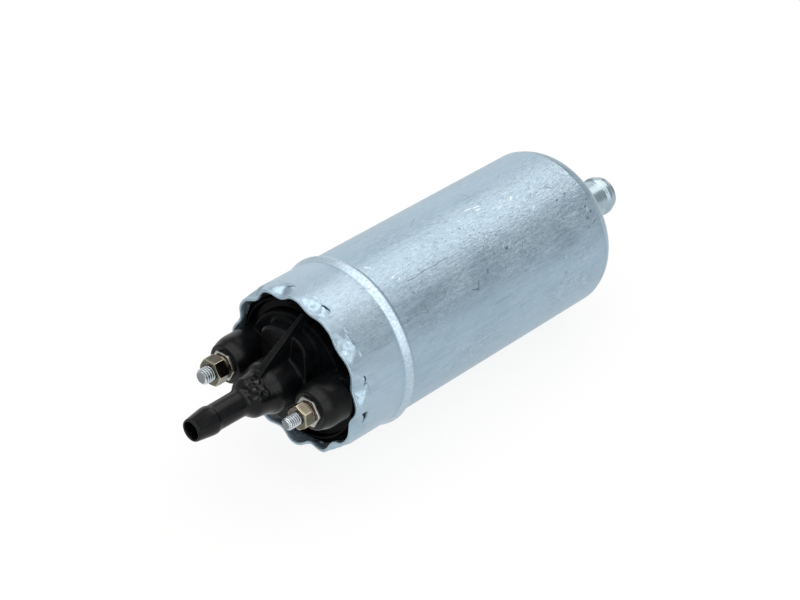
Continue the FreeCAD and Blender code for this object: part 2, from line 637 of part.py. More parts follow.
for side, sign, r, flats, height, lock, tag in (
    ("large", -1.0, "stud_large", "nut_large_flats", "nut_large_height", "lock_large", "terminal_stud_large"),
    ("small", 1.0, "stud_small", "nut_small_flats", "nut_small_height", "lock_small", "terminal_stud_small"),
):
    y = ("terminal_y", 0.0, sign)
    shank = "shank_" + side
    free = "free_%s_x" % side
    stud = new_body(tag)
    stud.Placement = Placement(Vector(0, val(y), 0), Rotation())
    stud.setExpression("Placement.Base.y", expr(y))
    sk = new_sketch(stud, "StudProfile")
    outline(sk, [
        ("stud_head_x", 0.0),
        ("stud_head_x", 3.4),
        ("cap_wall_x", 3.4),
        ("cap_wall_x", shank),
        (free, shank),
        (free, r),
        (("stud_end_x", -0.5), r),
        ("stud_end_x", (r, -0.5)),
        ("stud_end_x", 0.0),
    ])
    revolve(stud, sk)
    plate = new_body("terminal_plate_" + side)
    plate.Placement = Placement(Vector(0, val(y), 0), Rotation())
    plate.setExpression("Placement.Base.y", expr(y))
    sk = new_sketch(plate, "PlateOutline", "YZ_Plane", "boss_x")
    hexagon(sk, "plate_flats")
    circle(sk, 0.0, 0.0, (r, 0.2))
    pad(plate, sk, "plate_thick")
    # split spring washer
    ring = new_body("spring_washer_" + side)
    ring.Placement = Placement(Vector(0, val(y), 0), Rotation())
    ring.setExpression("Placement.Base.y", expr(y))
    sk = new_sketch(ring, "WasherOutline", "YZ_Plane", "boss_x")
    sk.setExpression("AttachmentOffset.Base.z", "Dims.boss_x + Dims.plate_thick")
    circle(sk, 0.0, 0.0, (r, 1.45))
    circle(sk, 0.0, 0.0, (r, 0.2))
    pad(ring, sk, lock)
    doc.recompute()
    sk = new_sketch(ring, "Split", "XY_Plane", 0.0)
    x0 = D["boss_x"] + D["plate_thick"]
    t = D[lock]
    outline(sk, [(x0 - 0.1, 0.9), (x0 + t + 0.1, 1.7), (x0 + t + 0.1, 2.3), (x0 - 0.1, 1.5)])
    pocket(ring, sk, 6.0, "SplitCut", back=True)
    nut = new_body("terminal_nut_" + side)
    nut.Placement = Placement(Vector(0, val(y), 0), Rotation())
    nut.setExpression("Placement.Base.y", expr(y))
    sk = new_sketch(nut, "NutOutline", "YZ_Plane", "boss_x")
    sk.setExpression("AttachmentOffset.Base.z", "Dims.boss_x + Dims.plate_thick + Dims." + lock)
    hexagon(sk, flats, 0.0 if side == "large" else 36.0)
    circle(sk, 0.0, 0.0, (shank, 0.04))
    pad(nut, sk, height)
    doc.recompute()
    # both faces turned to a cone, so that the corners are cut back
    sk = new_sketch(nut, "CornerCone")
    x0 = D["boss_x"] + D["plate_thick"] + D[lock]
    x1 = x0 + D[height]
    rf = D[flats] / 2.0
    outline(sk, [(x0 - 0.2, rf - 0.35), (x0 + 0.75, rf + 1.3), (x0 - 0.2, rf + 1.3)])
    revolve(nut, sk, "BackCone", cut=True)
    sk = new_sketch(nut, "FrontCone")
    outline(sk, [(x1 + 0.2, rf - 0.35), (x1 + 0.2, rf + 1.3), (x1 - 0.75, rf + 1.3)])
    revolve(nut, sk, "FaceCone", cut=True)
    # filter coil behind the terminal
    choke = new_body("choke_" + side)
    choke.Placement = Placement(Vector(0, val(y), 0), Rotation())
    choke.setExpression("Placement.Base.y", expr(y))
    sk = new_sketch(choke, "CoilProfile")
    pts = [(47.0, 0.0), (47.0, 1.6), (48.2, 1.6)]
    for k in range(8):
        x = 48.2 + k * 1.0
        pts += [(x, 3.0), (x + 0.8, 3.0), (x + 0.8, 2.7), (x + 1.0, 2.7)]
    pts = pts[:-2] + [(56.0, 1.6), (57.4, 1.6), (57.4, 0.0)]
    outline(sk, pts)
    revolve(choke, sk)

cond = new_body("capacitor")
sk = new_sketch(cond, "CanOutline", "YZ_Plane", 47.5)
rectangle(sk, -5.0, -17.0, 5.0, -12.5)
pad(cond, sk, 9.0)

# ---------------------------------------------------------------- check valve
seat = new_body("check_valve_seat")
sk = new_sketch(seat, "SeatProfile")
outline(sk, [
    (("cap_wall_x", 0.6), 2.2),
    (("cap_wall_x", 0.6), ("valve_bore", -0.02)),
    (("cap_wall_x", 4.0), ("valve_bore", -0.02)),
    (("cap_wall_x", 4.0), 3.3),
    (("cap_wall_x", 3.2), 2.2),
])
revolve(seat, sk)
plunger = new_body("check_valve_plunger")
sk = new_sketch(plunger, "PlungerProfile")
outline(sk, [
    (("cap_wall_x", 3.55), 0.0),
    (("cap_wall_x", 3.55), 2.55),
    (("cap_wall_x", 4.35), 3.6),
    (("cap_wall_x", 5.6), 3.6),
    (("cap_wall_x", 5.6), 2.0),
    (("cap_wall_x", 7.0), 1.3),
    (("cap_wall_x", 18.2), 1.3),
    (("cap_wall_x", 18.6), 0.9),
    (("cap_wall_x", 18.6), 0.0),
])
revolve(plunger, sk)
guide = new_body("check_valve_guide")
sk = new_sketch(guide, "GuideOutline", "YZ_Plane", ("hub_x", -2.7))
circle(sk, 0.0, 0.0, ("valve_bore", -0.03))
circle(sk, 0.0, 0.0, 1.36)
pad(guide, sk, 2.2)
doc.recompute()
sk = new_sketch(guide, "FlowSlot", "YZ_Plane", ("hub_x", 0.0))
outline(sk, [(1.95, -0.8), (4.3, -1.7), (4.3, 1.7, 4.62, 0.0), (1.95, 0.8)])
slot = pocket(guide, sk, 3.5, "FlowCut")
polar(guide, [slot], 4)
spring("check_valve_spring", D["cap_wall_x"] + 5.65, 11.55, 2.75, 0.28, 6.0)

# ---------------------------------------------------------------- inlet end and pump cell
mesh = new_body("inlet_strainer")
sk = new_sketch(mesh, "CupProfile")
outline(sk, [
    (-48.6, 0.0),
    (-48.6, 10.6),
    (-46.6, 15.2),
    (-46.6, 17.0),
    (("inlet_plate_x", -0.05), 17.0),
    (("inlet_plate_x", -0.05), 14.8),
    (-48.2, 10.3),
    (-48.2, 0.0),
])
revolve(mesh, sk)
sk = new_sketch(mesh, "Holes", "YZ_Plane", -48.0)
for r0, off in ((3.2, 0.0), (5.9, 12.0), (8.6, 0.0)):
    circle(sk, r0 * math.cos(math.radians(off)), r0 * math.sin(math.radians(off)), 0.85)
holes = pocket(mesh, sk, 1.4, "HoleCut")
polar(mesh, [holes], 9)

front = new_body("inlet_plate")
sk = new_sketch(front, "PlateProfile")
outline(sk, [
    ("inlet_plate_x", 0.0),
    ("inlet_plate_x", ("plate_radius", -1.5)),
    (("inlet_plate_x", 1.5), "plate_radius"),
    ("cam_x", "plate_radius"),
    ("cam_x", ("bush_radius", 0.02)),
    (("cam_x", -5.6), ("bush_radius", 0.02)),
    (("cam_x", -5.6), 0.0),
])
revolve(front, sk)
sk = new_sketch(front, "InletPort", "YZ_Plane", "cam_x")
k0, k1 = 10.2, 14.6


def kidney(sk, a0, a1, r0, r1):
    """A curved port between two angles and two radii about the axis."""
    am = 0.5 * (a0 + a1)

    def at(r, a):
        return (r * math.cos(math.radians(a)), r * math.sin(math.radians(a)))
    outline(sk, [at(r0, a0) + at(r0, am), at(r1, a0), at(r1, a1) + at(r1, am), at(r0, a1)])


kidney(sk, 110.0, 172.0, k0, k1)
pocket(front, sk, 11.0, "InletPortCut")
sk = new_sketch(front, "ReliefSeat", "YZ_Plane", "cam_x")
circle(sk, 0.0, "relief_z", "relief_hole")
pocket(front, sk, 2.5, "ReliefSeatCut")
sk = new_sketch(front, "ReliefChamber", "YZ_Plane", ("cam_x", -1.5))
circle(sk, 0.0, "relief_z", "relief_chamber")
pocket(front, sk, 9.0, "ReliefChamberCut")
doc.recompute()

ring = new_body("cam_ring")
sk = new_sketch(ring, "RingOutline", "YZ_Plane", "cam_x")
circle(sk, 0.0, 0.0, "plate_radius")
circle(sk, 0.0, "cam_offset", "cam_bore")
circle(sk, 0.0, "relief_z", "relief_hole")
width = pad(ring, sk, D["base_x"] - D["cam_x"])
width.setExpression("Length", "Dims.base_x - Dims.cam_x")

base = new_body("base_plate")
sk = new_sketch(base, "PlateOutline", "YZ_Plane", "base_x")
circle(sk, 0.0, 0.0, "plate_radius")
circle(sk, 0.0, 0.0, 6.7)
circle(sk, 0.0, "relief_z", "relief_hole")
width = pad(base, sk, D["base_end_x"] - D["base_x"])
width.setExpression("Length", "Dims.base_end_x - Dims.base_x")
sk = new_sketch(base, "OutletPort", "YZ_Plane", "base_end_x")
kidney(sk, 8.0, 70.0, k0, k1)
pocket(base, sk, 8.0, "OutletPortCut")

bush = new_body("pump_end_bush")
sk = new_sketch(bush, "BushProfile")
rectangle(sk, ("cam_x", -5.5), "bush_bore", ("cam_x", -0.05), "bush_radius")
revolve(bush, sk)

SLOTS = [90.0 + a for a in (18.0, 90.0, 162.0, 234.0, 306.0)]
rotor = new_body("pump_rotor")
sk = new_sketch(rotor, "RotorOutline", "YZ_Plane", ("cam_x", 0.1))
circle(sk, 0.0, 0.0, "rotor_radius")
circle(sk, 0.0, 0.0, ("shaft_radius", 0.02))
width = pad(rotor, sk, D["base_x"] - D["cam_x"] - 0.2)
width.setExpression("Length", "Dims.base_x - Dims.cam_x - 2 * Dims.rotor_gap")
sw = D["roller_radius"] + D["slot_clear"]
rp = D["roller_pitch"]
ca, sa = math.cos(math.radians(SLOTS[0])), math.sin(math.radians(SLOTS[0]))


def turned(u, v):
    return (u * ca - v * sa, u * sa + v * ca)


sk = new_sketch(rotor, "RollerSlot", "YZ_Plane", "base_x")
outline(sk, [
    turned(rp, -sw) + turned(rp - sw, 0.0),
    turned(rp + 5.0, -sw),
    turned(rp + 5.0, sw),
    turned(rp, sw),
])
slot = pocket(rotor, sk, 13.0, "SlotCut")
polar(rotor, [slot], 5, "Slots")
sk = new_sketch(rotor, "DriveHoles", "YZ_Plane", "base_x")
circle(sk, 0.0, 5.4, 1.25)
circle(sk, 0.0, -5.4, 1.25)
pocket(rotor, sk, 5.0, "DriveHole")
doc.recompute()

for k, a in enumerate(SLOTS, start=1):
    node = "pump_roller_%d" % k
    roll = x_cylinder(node, "roller_radius", ("cam_x", 0.15), D["base_x"] - D["cam_x"] - 0.3,
                      rp * math.cos(math.radians(a)), rp * math.sin(math.radians(a)))
    roll.setExpression("Height", "Dims.base_x - Dims.cam_x - 0.3")
    roll.setExpression("Placement.Base.y", "Dims.roller_pitch * cos(%g deg)" % a)
    roll.setExpression("Placement.Base.z", "Dims.roller_pitch * sin(%g deg)" % a)
    roll.Label = node
    NODES[node] = roll

ball = doc.addObject("Part::Sphere", "relief_valve_ball")
ball.Label = "relief_valve_ball"
ball.Radius = D["ball_radius"]
ball.setExpression("Radius", "Dims.ball_radius")
drop = math.sqrt(D["ball_radius"] ** 2 - D["relief_hole"] ** 2)
ball_x = D["cam_x"] - 1.5 - drop - 0.02
ball.Placement = Placement(Vector(ball_x, 0, D["relief_z"]), Rotation(Vector(0, 1, 0), 90))
ball.setExpression("Placement.Base.z", "Dims.relief_z")
NODES["relief_valve_ball"] = ball
plug = new_body("relief_valve_plug")
plug.Placement = Placement(Vector(0, 0, D["relief_z"]), Rotation())
plug.setExpression("Placement.Base.z", "Dims.relief_z")
sk = new_sketch(plug, "PlugProfile")
rectangle(sk, "inlet_plate_x", 1.0, ("inlet_plate_x", 1.4), ("relief_chamber", -0.02))
revolve(plug, sk)
spring("relief_valve_spring", D["inlet_plate_x"] + 1.45, ball_x - 1.45 - (D["inlet_plate_x"] + 1.45), 1.75, 0.25, 3.5, 0.0, D["relief_z"])

# ---------------------------------------------------------------- motor
shaft = new_body("armature_shaft")
sk = new_sketch(shaft, "ShaftProfile")
outline(sk, [
    ("shaft_start_x", 0.0),
    ("shaft_start_x", ("shaft_radius", -0.4)),
    (("shaft_start_x", 0.4), "shaft_radius"),
    (("shaft_end_x", -0.4), "shaft_radius"),
    ("shaft_end_x", ("shaft_radius", -0.4)),
    ("shaft_end_x", 0.0),
])
revolve(shaft, sk)

coupling = new_body("drive_coupling")
sk = new_sketch(coupling, "SleeveProfile")
rectangle(sk, ("base_x", 0.1), ("shaft_radius", 0.02), -13.5, 6.3)
revolve(coupling, sk)
sk = new_sketch(coupling, "Tangs", "YZ_Plane", ("base_x", 0.5))
circle(sk, 0.0, 5.2, 1.0)
circle(sk, 0.0, -5.2, 1.0)
pad(coupling, sk, 4.4, "TangPad", back=True)

core = new_body("armature_core")
sk = new_sketch(core, "CoreOutline", "YZ_Plane", "core_start_x")
circle(sk, 0.0, 0.0, "core_radius")
circle(sk, 0.0, 0.0, ("shaft_radius", 0.02))
width = pad(core, sk, D["core_end_x"] - D["core_start_x"])
width.setExpression("Length", "Dims.core_end_x - Dims.core_start_x")
sk = new_sketch(core, "WindingSlot", "YZ_Plane", "core_end_x")
outline(sk, [
    (8.2, -1.3),
    (14.6, -3.1),
    (15.6, -0.8),
    (18.0, -0.8),
    (18.0, 0.8),
    (15.6, 0.8),
    (14.6, 3.1),
    (8.2, 1.3),
])
slot = pocket(core, sk, 34.0, "WindingSlotCut")
polar(core, [slot], 10, "Slots")
doc.recompute()

wind = new_body("armature_windings")
sk = new_sketch(wind, "EndTurns")
outline(sk, [
    ("core_end_x", 4.0),
    (("core_end_x", 0.0), 14.2),
    (("core_end_x", 2.2), 14.4),
    (("core_end_x", 4.2), 11.5),
    (("core_end_x", 4.4), 7.0),
    (("core_end_x", 3.4), 4.0),
])
revolve(wind, sk, "OutletTurns")
sk = new_sketch(wind, "Conductors", "YZ_Plane", ("core_end_x", 0.5))
outline(sk, [
    (8.5, -1.25),
    (14.0, -2.75),
    (14.35, -1.0),
    (14.35, 1.0),
    (14.0, 2.75),
    (8.5, 1.25),
])
bar = pad(wind, sk, 34.0, "ConductorBar", back=True)
bars = polar(wind, [bar], 10, "Conductors10")
sk = new_sketch(wind, "EndTurnsIn")
outline(sk, [
    ("core_start_x", 4.0),
    (("core_start_x", -3.0), 4.0),
    (("core_start_x", -4.4), 7.0),
    (("core_start_x", -4.2), 11.5),
    (("core_start_x", -2.2), 14.4),
    (("core_start_x", 0.0), 14.2),
])
revolve(wind, sk, "InletTurns")

comm = new_body("commutator")
sk = new_sketch(comm, "CommutatorProfile")
outline(sk, [
    (("commutator_start_x", -0.2), ("shaft_radius", 0.02)),
    (("commutator_start_x", -0.2), 10.2),
    (("commutator_start_x", 1.0), 10.2),
    (("commutator_start_x", 1.0), "commutator_radius"),
    ("commutator_end_x", "commutator_radius"),
    ("commutator_end_x", ("shaft_radius", 0.02)),
])
revolve(comm, sk)
sk = new_sketch(comm, "SegmentSlot", "YZ_Plane", ("commutator_end_x", 0.2))
rectangle(sk, 7.4, -0.25, 11.0, 0.25)
slot = pocket(comm, sk, 10.0, "SegmentCut")
polar(comm, [slot], 10, "Segments")

tube = new_body("flux_tube")
sk = new_sketch(tube, "TubeProfile")
rectangle(sk, ("base_end_x", 0.05), "tube_bore", "tube_end_x", "tube_radius")
revolve(tube, sk)


def arc_block(label, a0, a1, r0, r1, x0, length):
    blk = new_body(label)
    sk = new_sketch(blk, "ArcOutline", "YZ_Plane", x0)
    am = 0.5 * (a0 + a1)

    def at(r, a):
        return (r * math.cos(math.radians(a)), r * math.sin(math.radians(a)))
    outline(sk, [at(r0, a0) + at(r0, am), at(r1, a0), at(r1, a1) + at(r1, am), at(r0, a1)])
    pad(blk, sk, length)
    return blk


mag_len = D["magnet_end_x"] - D["magnet_start_x"]
arc_block("magnet_right", -62.0, 62.0, D["magnet_bore"], D["magnet_radius"], "magnet_start_x", mag_len)
arc_block("magnet_left", 118.0, 242.0, D["magnet_bore"], D["magnet_radius"], "magnet_start_x", mag_len)
arc_block("magnet_clip_upper", 64.0, 116.0, D["magnet_radius"] - 1.0, D["magnet_radius"], "magnet_start_x", mag_len)
arc_block("magnet_clip_lower", 244.0, 296.0, D["magnet_radius"] - 1.0, D["magnet_radius"], "magnet_start_x", mag_len)

# brush holder: a ring clamped behind the cap, a bearing hub and two square guides
hold = new_body("brush_holder")
sk = new_sketch(hold, "HolderProfile")
outline(sk, [
    (43.1, ("bush_radius", 0.02)),
    (43.1, "tube_radius"),
    (45.6, "tube_radius"),
    (45.6, 7.0),
    (50.6, 6.2),
    (50.6, ("bush_radius", 0.02)),
])
revolve(hold, sk)
bw = 0.5 * D["brush_width"]
bl = D["brush_length"]
gx0 = D["brush_x"] - 1.2
sk = new_sketch(hold, "Guides", "XZ_Plane", 0.0)
rectangle(sk, gx0, -bw - 1.2, 43.5, bw + 1.2)
guides = pad(hold, sk, 43.4, "GuidePad", middle=True)
doc.recompute()
# cleared over the commutator and its riser
sk = new_sketch(hold, "Clearance")
rectangle(sk, 31.0, 0.0, 42.2, 10.9)
revolve(hold, sk, "CommutatorSpace", cut=True)
sk = new_sketch(hold, "ShaftSpace")
rectangle(sk, 42.0, 0.0, 43.8, ("bush_radius", 0.02))
revolve(hold, sk, "ShaftSpaceCut", cut=True)
sk = new_sketch(hold, "BrushChannel", "XZ_Plane", 0.0)
rectangle(sk, D["brush_x"] - 0.1, -bw - 0.1, D["brush_x"] + bl + 0.1, bw + 0.1)
channel = pocket(hold, sk, 41.0, "ChannelCut", middle=True)
sk = new_sketch(hold, "FlowHoles", "YZ_Plane", 46.0)
for a in (35.0, 65.0, 115.0, 145.0, 215.0, 245.0, 295.0, 325.0):
    circle(sk, 15.0 * math.cos(math.radians(a)), 15.0 * math.sin(math.radians(a)), 2.6)
pocket(hold, sk, 4.0, "FlowCut")

bush = new_body("cap_end_bush")
sk = new_sketch(bush, "BushProfile")
rectangle(sk, 43.6, "bush_bore", 50.4, "bush_radius")
revolve(bush, sk)

cyl = x_cylinder("brush_relief", ("commutator_radius", 0.02), 20.0, 30.0)
for side, sign in (("right", 1.0), ("left", -1.0)):
    node = "brush_" + side
    y0 = 7.0 if sign > 0 else -D["brush_end_y"]
    blk = box(node + "_block", "brush_x", y0, ("brush_width", 0.0, -0.5), "brush_length", D["brush_end_y"] - 7.0, "brush_width")
    cut(node, blk, cyl)
    rot = Rotation(Vector(1, 0, 0), -90.0 if sign > 0 else 90.0)
    spring("brush_spring_" + side, D["brush_x"] + 0.5 * bl, 5.6, 1.8, 0.22, 5.0, sign * (D["brush_end_y"] + 0.08), 0.0, rot)

doc.recompute()

# ---------------------------------------------------------------- checks and export
bad = []
for obj in doc.Objects:
    state = [s for s in obj.State if s in ("Invalid", "Error")]
    if state:
        bad.append("%s %s" % (obj.Label, state))
if bad:
    raise RuntimeError("; ".join(bad))
os.makedirs("parts", exist_ok=True)
for label in sorted(NODES):
    shape = NODES[label].Shape
    if shape.isNull() or not shape.isValid() or not shape.Solids:
        raise RuntimeError(label + " has no valid solid")
    shape.exportStep(os.path.join("parts", label + ".step"))
    box_ = shape.BoundBox
    print("%-24s %d solid  %8.1f mm3  x %.2f..%.2f y %.2f..%.2f z %.2f..%.2f" % (
        label, len(shape.Solids), shape.Volume, box_.XMin, box_.XMax, box_.YMin, box_.YMax, box_.ZMin, box_.ZMax))
print(len(NODES), "nodes")
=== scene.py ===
import json
import math

import bpy
import numpy as np
from mathutils import Matrix, Vector


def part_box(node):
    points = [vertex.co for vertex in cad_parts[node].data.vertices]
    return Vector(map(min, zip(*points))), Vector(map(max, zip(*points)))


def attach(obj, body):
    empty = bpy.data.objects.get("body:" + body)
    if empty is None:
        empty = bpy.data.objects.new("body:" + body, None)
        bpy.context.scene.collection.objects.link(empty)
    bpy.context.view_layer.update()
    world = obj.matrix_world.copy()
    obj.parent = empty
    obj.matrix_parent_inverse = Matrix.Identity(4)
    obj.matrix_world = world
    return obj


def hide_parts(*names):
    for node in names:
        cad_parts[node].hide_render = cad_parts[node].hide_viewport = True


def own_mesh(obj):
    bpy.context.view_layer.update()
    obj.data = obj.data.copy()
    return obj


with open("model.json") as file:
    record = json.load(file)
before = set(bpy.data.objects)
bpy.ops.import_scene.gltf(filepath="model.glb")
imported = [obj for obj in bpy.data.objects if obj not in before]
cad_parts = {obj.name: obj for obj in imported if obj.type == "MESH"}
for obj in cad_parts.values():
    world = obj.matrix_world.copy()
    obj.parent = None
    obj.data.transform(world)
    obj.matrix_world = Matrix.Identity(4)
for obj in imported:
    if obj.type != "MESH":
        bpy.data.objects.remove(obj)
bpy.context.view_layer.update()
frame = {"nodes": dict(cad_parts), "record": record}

MM = 0.001
TAU = 2.0 * math.pi
scene = bpy.context.scene


# ---------------------------------------------------------------- mesh helpers
def make(name, verts, faces, mats, nodes=(), slot=None, body="pump_body", sharp=38.0, attrs=None, index=None):
    """A mesh piece from points in millimetres. attrs are floats per point."""
    me = bpy.data.meshes.new(name)
    verts = np.asarray(verts, float).reshape(-1, 3) * MM
    quads = np.asarray(faces[0], np.int64).reshape(-1, 4)
    tris = np.asarray(faces[1], np.int64).reshape(-1, 3) if len(faces) > 1 else np.zeros((0, 3), np.int64)
    me.vertices.add(len(verts))
    me.vertices.foreach_set("co", verts.astype(np.float32).ravel())
    loops = np.concatenate([quads.ravel(), tris.ravel()]).astype(np.int32)
    me.loops.add(len(loops))
    me.loops.foreach_set("vertex_index", loops)
    counts = np.concatenate([np.full(len(quads), 4), np.full(len(tris), 3)]).astype(np.int32)
    starts = np.concatenate([[0], np.cumsum(counts)[:-1]]).astype(np.int32)
    me.polygons.add(len(counts))
    me.polygons.foreach_set("loop_start", starts)
    if index is not None:
        me.polygons.foreach_set("material_index", np.asarray(index, np.int32))
    me.update(calc_edges=True)
    me.validate(verbose=False)
    for m in (mats if isinstance(mats, (list, tuple)) else [mats]):
        me.materials.append(m)
    me.polygons.foreach_set("use_smooth", np.ones(len(me.polygons), bool))
    me.set_sharp_from_angle(angle=math.radians(sharp))
    for key, value in (attrs or {}).items():
        layer = me.attributes.new(key, "FLOAT", "POINT")
        layer.data.foreach_set("value", np.asarray(value, np.float32))
    ob = bpy.data.objects.new(name, me)
    scene.collection.objects.link(ob)
    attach(ob, body)
    if nodes:
        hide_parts(*nodes)
    return ob


def grid_faces(nu, nv, wrap_u=False, wrap_v=True, base=0, flip=False):
    """Quads of a grid with nu rows of nv points."""
    iu = np.arange(nu if wrap_u else nu - 1)
    iv = np.arange(nv if wrap_v else nv - 1)
    a, b = np.meshgrid(iu, iv, indexing="ij")
    a2, b2 = (a + 1) % nu, (b + 1) % nv
    q = np.stack([a * nv + b, a2 * nv + b, a2 * nv + b2, a * nv + b2], -1).reshape(-1, 4) + base
    return q[:, ::-1] if flip else q


def fillet(points, closed=True, step=0.12, arc=8):
    """A polyline of (x, r, rounding) with rounded corners, as an array of (x, r)."""
    pts = [np.array(p[:2], float) for p in points]
    rad = [p[2] if len(p) > 2 else 0.0 for p in points]
    n = len(pts)
    out = []
    for k in range(n):
        if not closed and k in (0, n - 1) or rad[k] <= 0:
            out.append(pts[k])
            continue
        p, a, b = pts[k], pts[k - 1], pts[(k + 1) % n]
        u, v = (a - p), (b - p)
        lu, lv = np.linalg.norm(u), np.linalg.norm(v)
        u, v = u / lu, v / lv
        c = max(-1.0, min(1.0, float(u @ v)))
        ang = math.acos(c)
        if ang > math.pi - 0.02:
            out.append(p)
            continue
        t = min(rad[k] / math.tan(ang / 2), 0.48 * lu, 0.48 * lv)
        r = t * math.tan(ang / 2)
        centre = p + (u + v) / np.linalg.norm(u + v) * (r / math.sin(ang / 2))
        s, e = p + u * t - centre, p + v * t - centre
        total = math.acos(max(-1.0, min(1.0, float(s @ e) / (r * r))))
        m = max(2, int(arc * total / 1.2))
        for i in range(m + 1):
            w = i / m
            q = (math.sin((1 - w) * total) * s + math.sin(w * total) * e) / math.sin(total) if total > 1e-4 else s
            out.append(centre + q)
    return np.array(out)


def dense(line, step, closed=True):
    """Adds points so that no run is longer than step."""
    out = []
    n = len(line)
    for k in range(n if closed else n - 1):
        a, b = line[k], line[(k + 1) % n]
        m = max(1, int(math.ceil(np.linalg.norm(b - a) / step)))
        for i in range(m):
            out.append(a + (b - a) * i / m)
    if not closed:
        out.append(line[-1])
    return np.array(out)


def turned(name, profile, seg, mats, centre=(0.0, 0.0), **kw):
    """A closed profile of (x, r) turned about an axis along X through centre."""
    th = np.arange(seg) * TAU / seg
    x = profile[:, 0][:, None] + 0 * th
    y = centre[0] + profile[:, 1][:, None] * np.cos(th)
    z = centre[1] + profile[:, 1][:, None] * np.sin(th)
    v = np.stack([x, y, z], -1)
    area = 0.5 * np.sum(profile[:, 0] * np.roll(profile[:, 1], -1) - np.roll(profile[:, 0], -1) * profile[:, 1])
    return make(name, v, [grid_faces(len(profile), seg, True, True, flip=area < 0)], mats, **kw)


def smooth01(t):
    t = np.clip(t, 0.0, 1.0)
    return t * t * (3 - 2 * t)


# ---------------------------------------------------------------- material helpers
class Mat:
    """A Principled material built from small named steps."""

    def __init__(self, name):
        self.mat = bpy.data.materials.new(name)
        self.mat.use_nodes = True
        self.nt = self.mat.node_tree
        self.nt.nodes.clear()
        self.out = self.nt.nodes.new("ShaderNodeOutputMaterial")
        self.bsdf = self.nt.nodes.new("ShaderNodeBsdfPrincipled")
        self.link(self.bsdf.outputs[0], self.out.inputs[0])
        self.coord = self.nt.nodes.new("ShaderNodeTexCoord").outputs["Object"]

    def link(self, a, b):
        self.nt.links.new(a, b)

    def set(self, **kw):
        for k, v in kw.items():
            self.put(self.bsdf.inputs[k.replace("_", " ")], v)

    def put(self, socket, v):
        if isinstance(v, bpy.types.NodeSocket):
            self.link(v, socket)
        elif isinstance(v, (tuple, list)) and socket.type == "RGBA" and len(v) == 3:
            socket.default_value = (*v, 1.0)
        else:
            socket.default_value = v

    def scaled(self, sx, sy=None, sz=None, loc=(0, 0, 0), rot=(0, 0, 0)):
        n = self.nt.nodes.new("ShaderNodeMapping")
        self.link(self.coord, n.inputs["Vector"])
        n.inputs["Scale"].default_value = (sx, sx if sy is None else sy, sx if sz is None else sz)
        n.inputs["Location"].default_value = loc
        n.inputs["Rotation"].default_value = rot
        return n.outputs[0]

    def noise(self, vec, scale=1.0, detail=2.0, rough=0.5, distortion=0.0):
        n = self.nt.nodes.new("ShaderNodeTexNoise")
        self.link(vec, n.inputs["Vector"])
        n.inputs["Scale"].default_value = scale
        n.inputs["Detail"].default_value = detail
        n.inputs["Roughness"].default_value = rough
        n.inputs["Distortion"].default_value = distortion
        return n.outputs["Fac"]

    def voronoi(self, vec, scale=1.0, feature="F1", out="Distance", rand=1.0):
        n = self.nt.nodes.new("ShaderNodeTexVoronoi")
        n.feature = feature
        self.link(vec, n.inputs["Vector"])
        n.inputs["Scale"].default_value = scale
        n.inputs["Randomness"].default_value = rand
        return n.outputs[out]

    def ramp(self, fac, stops, smooth=False):
        n = self.nt.nodes.new("ShaderNodeValToRGB")
        n.color_ramp.interpolation = "EASE" if smooth else "LINEAR"
        self.link(fac, n.inputs[0])
        el = n.color_ramp.elements
        while len(el) > 1:
            el.remove(el[-1])
        for k, (pos, col) in enumerate(stops):
            e = el[0] if k == 0 else el.new(pos)
            e.position = pos
            e.color = (*col, 1.0) if isinstance(col, (tuple, list)) else (col, col, col, 1.0)
        return n.outputs[0]

    def math(self, op, a, b=None, c=None, clamp=False):
        n = self.nt.nodes.new("ShaderNodeMath")
        n.operation = op
        n.use_clamp = clamp
        for s, v in zip(n.inputs, (a, b, c)):
            if v is not None:
                self.put(s, v)
        return n.outputs[0]

    def mix(self, fac, a, b, blend="MIX"):
        n = self.nt.nodes.new("ShaderNodeMix")
        n.data_type = "RGBA"
        n.blend_type = blend
        self.put(n.inputs[0], fac)
        self.put(n.inputs[6], a)
        self.put(n.inputs[7], b)
        return n.outputs[2]

    def remap(self, v, a, b, c, d):
        n = self.nt.nodes.new("ShaderNodeMapRange")
        self.put(n.inputs[0], v)
        for k, x in zip((1, 2, 3, 4), (a, b, c, d)):
            self.put(n.inputs[k], x)
        return n.outputs[0]

    def attr(self, name):
        n = self.nt.nodes.new("ShaderNodeAttribute")
        n.attribute_name = name
        return n.outputs["Fac"]

    def xyz(self, vec=None):
        n = self.nt.nodes.new("ShaderNodeSeparateXYZ")
        self.link(vec or self.coord, n.inputs[0])
        return n.outputs

    def vec(self, op, a, b, out="Vector"):
        n = self.nt.nodes.new("ShaderNodeVectorMath")
        n.operation = op
        self.put(n.inputs[0], a)
        self.put(n.inputs[1], b)
        return n.outputs[out]

    def bump(self, height, strength, distance, normal=None):
        n = self.nt.nodes.new("ShaderNodeBump")
        n.inputs["Strength"].default_value = strength
        n.inputs["Distance"].default_value = distance
        self.link(height, n.inputs["Height"])
        if normal is not None:
            self.link(normal, n.inputs["Normal"])
        return n.outputs[0]


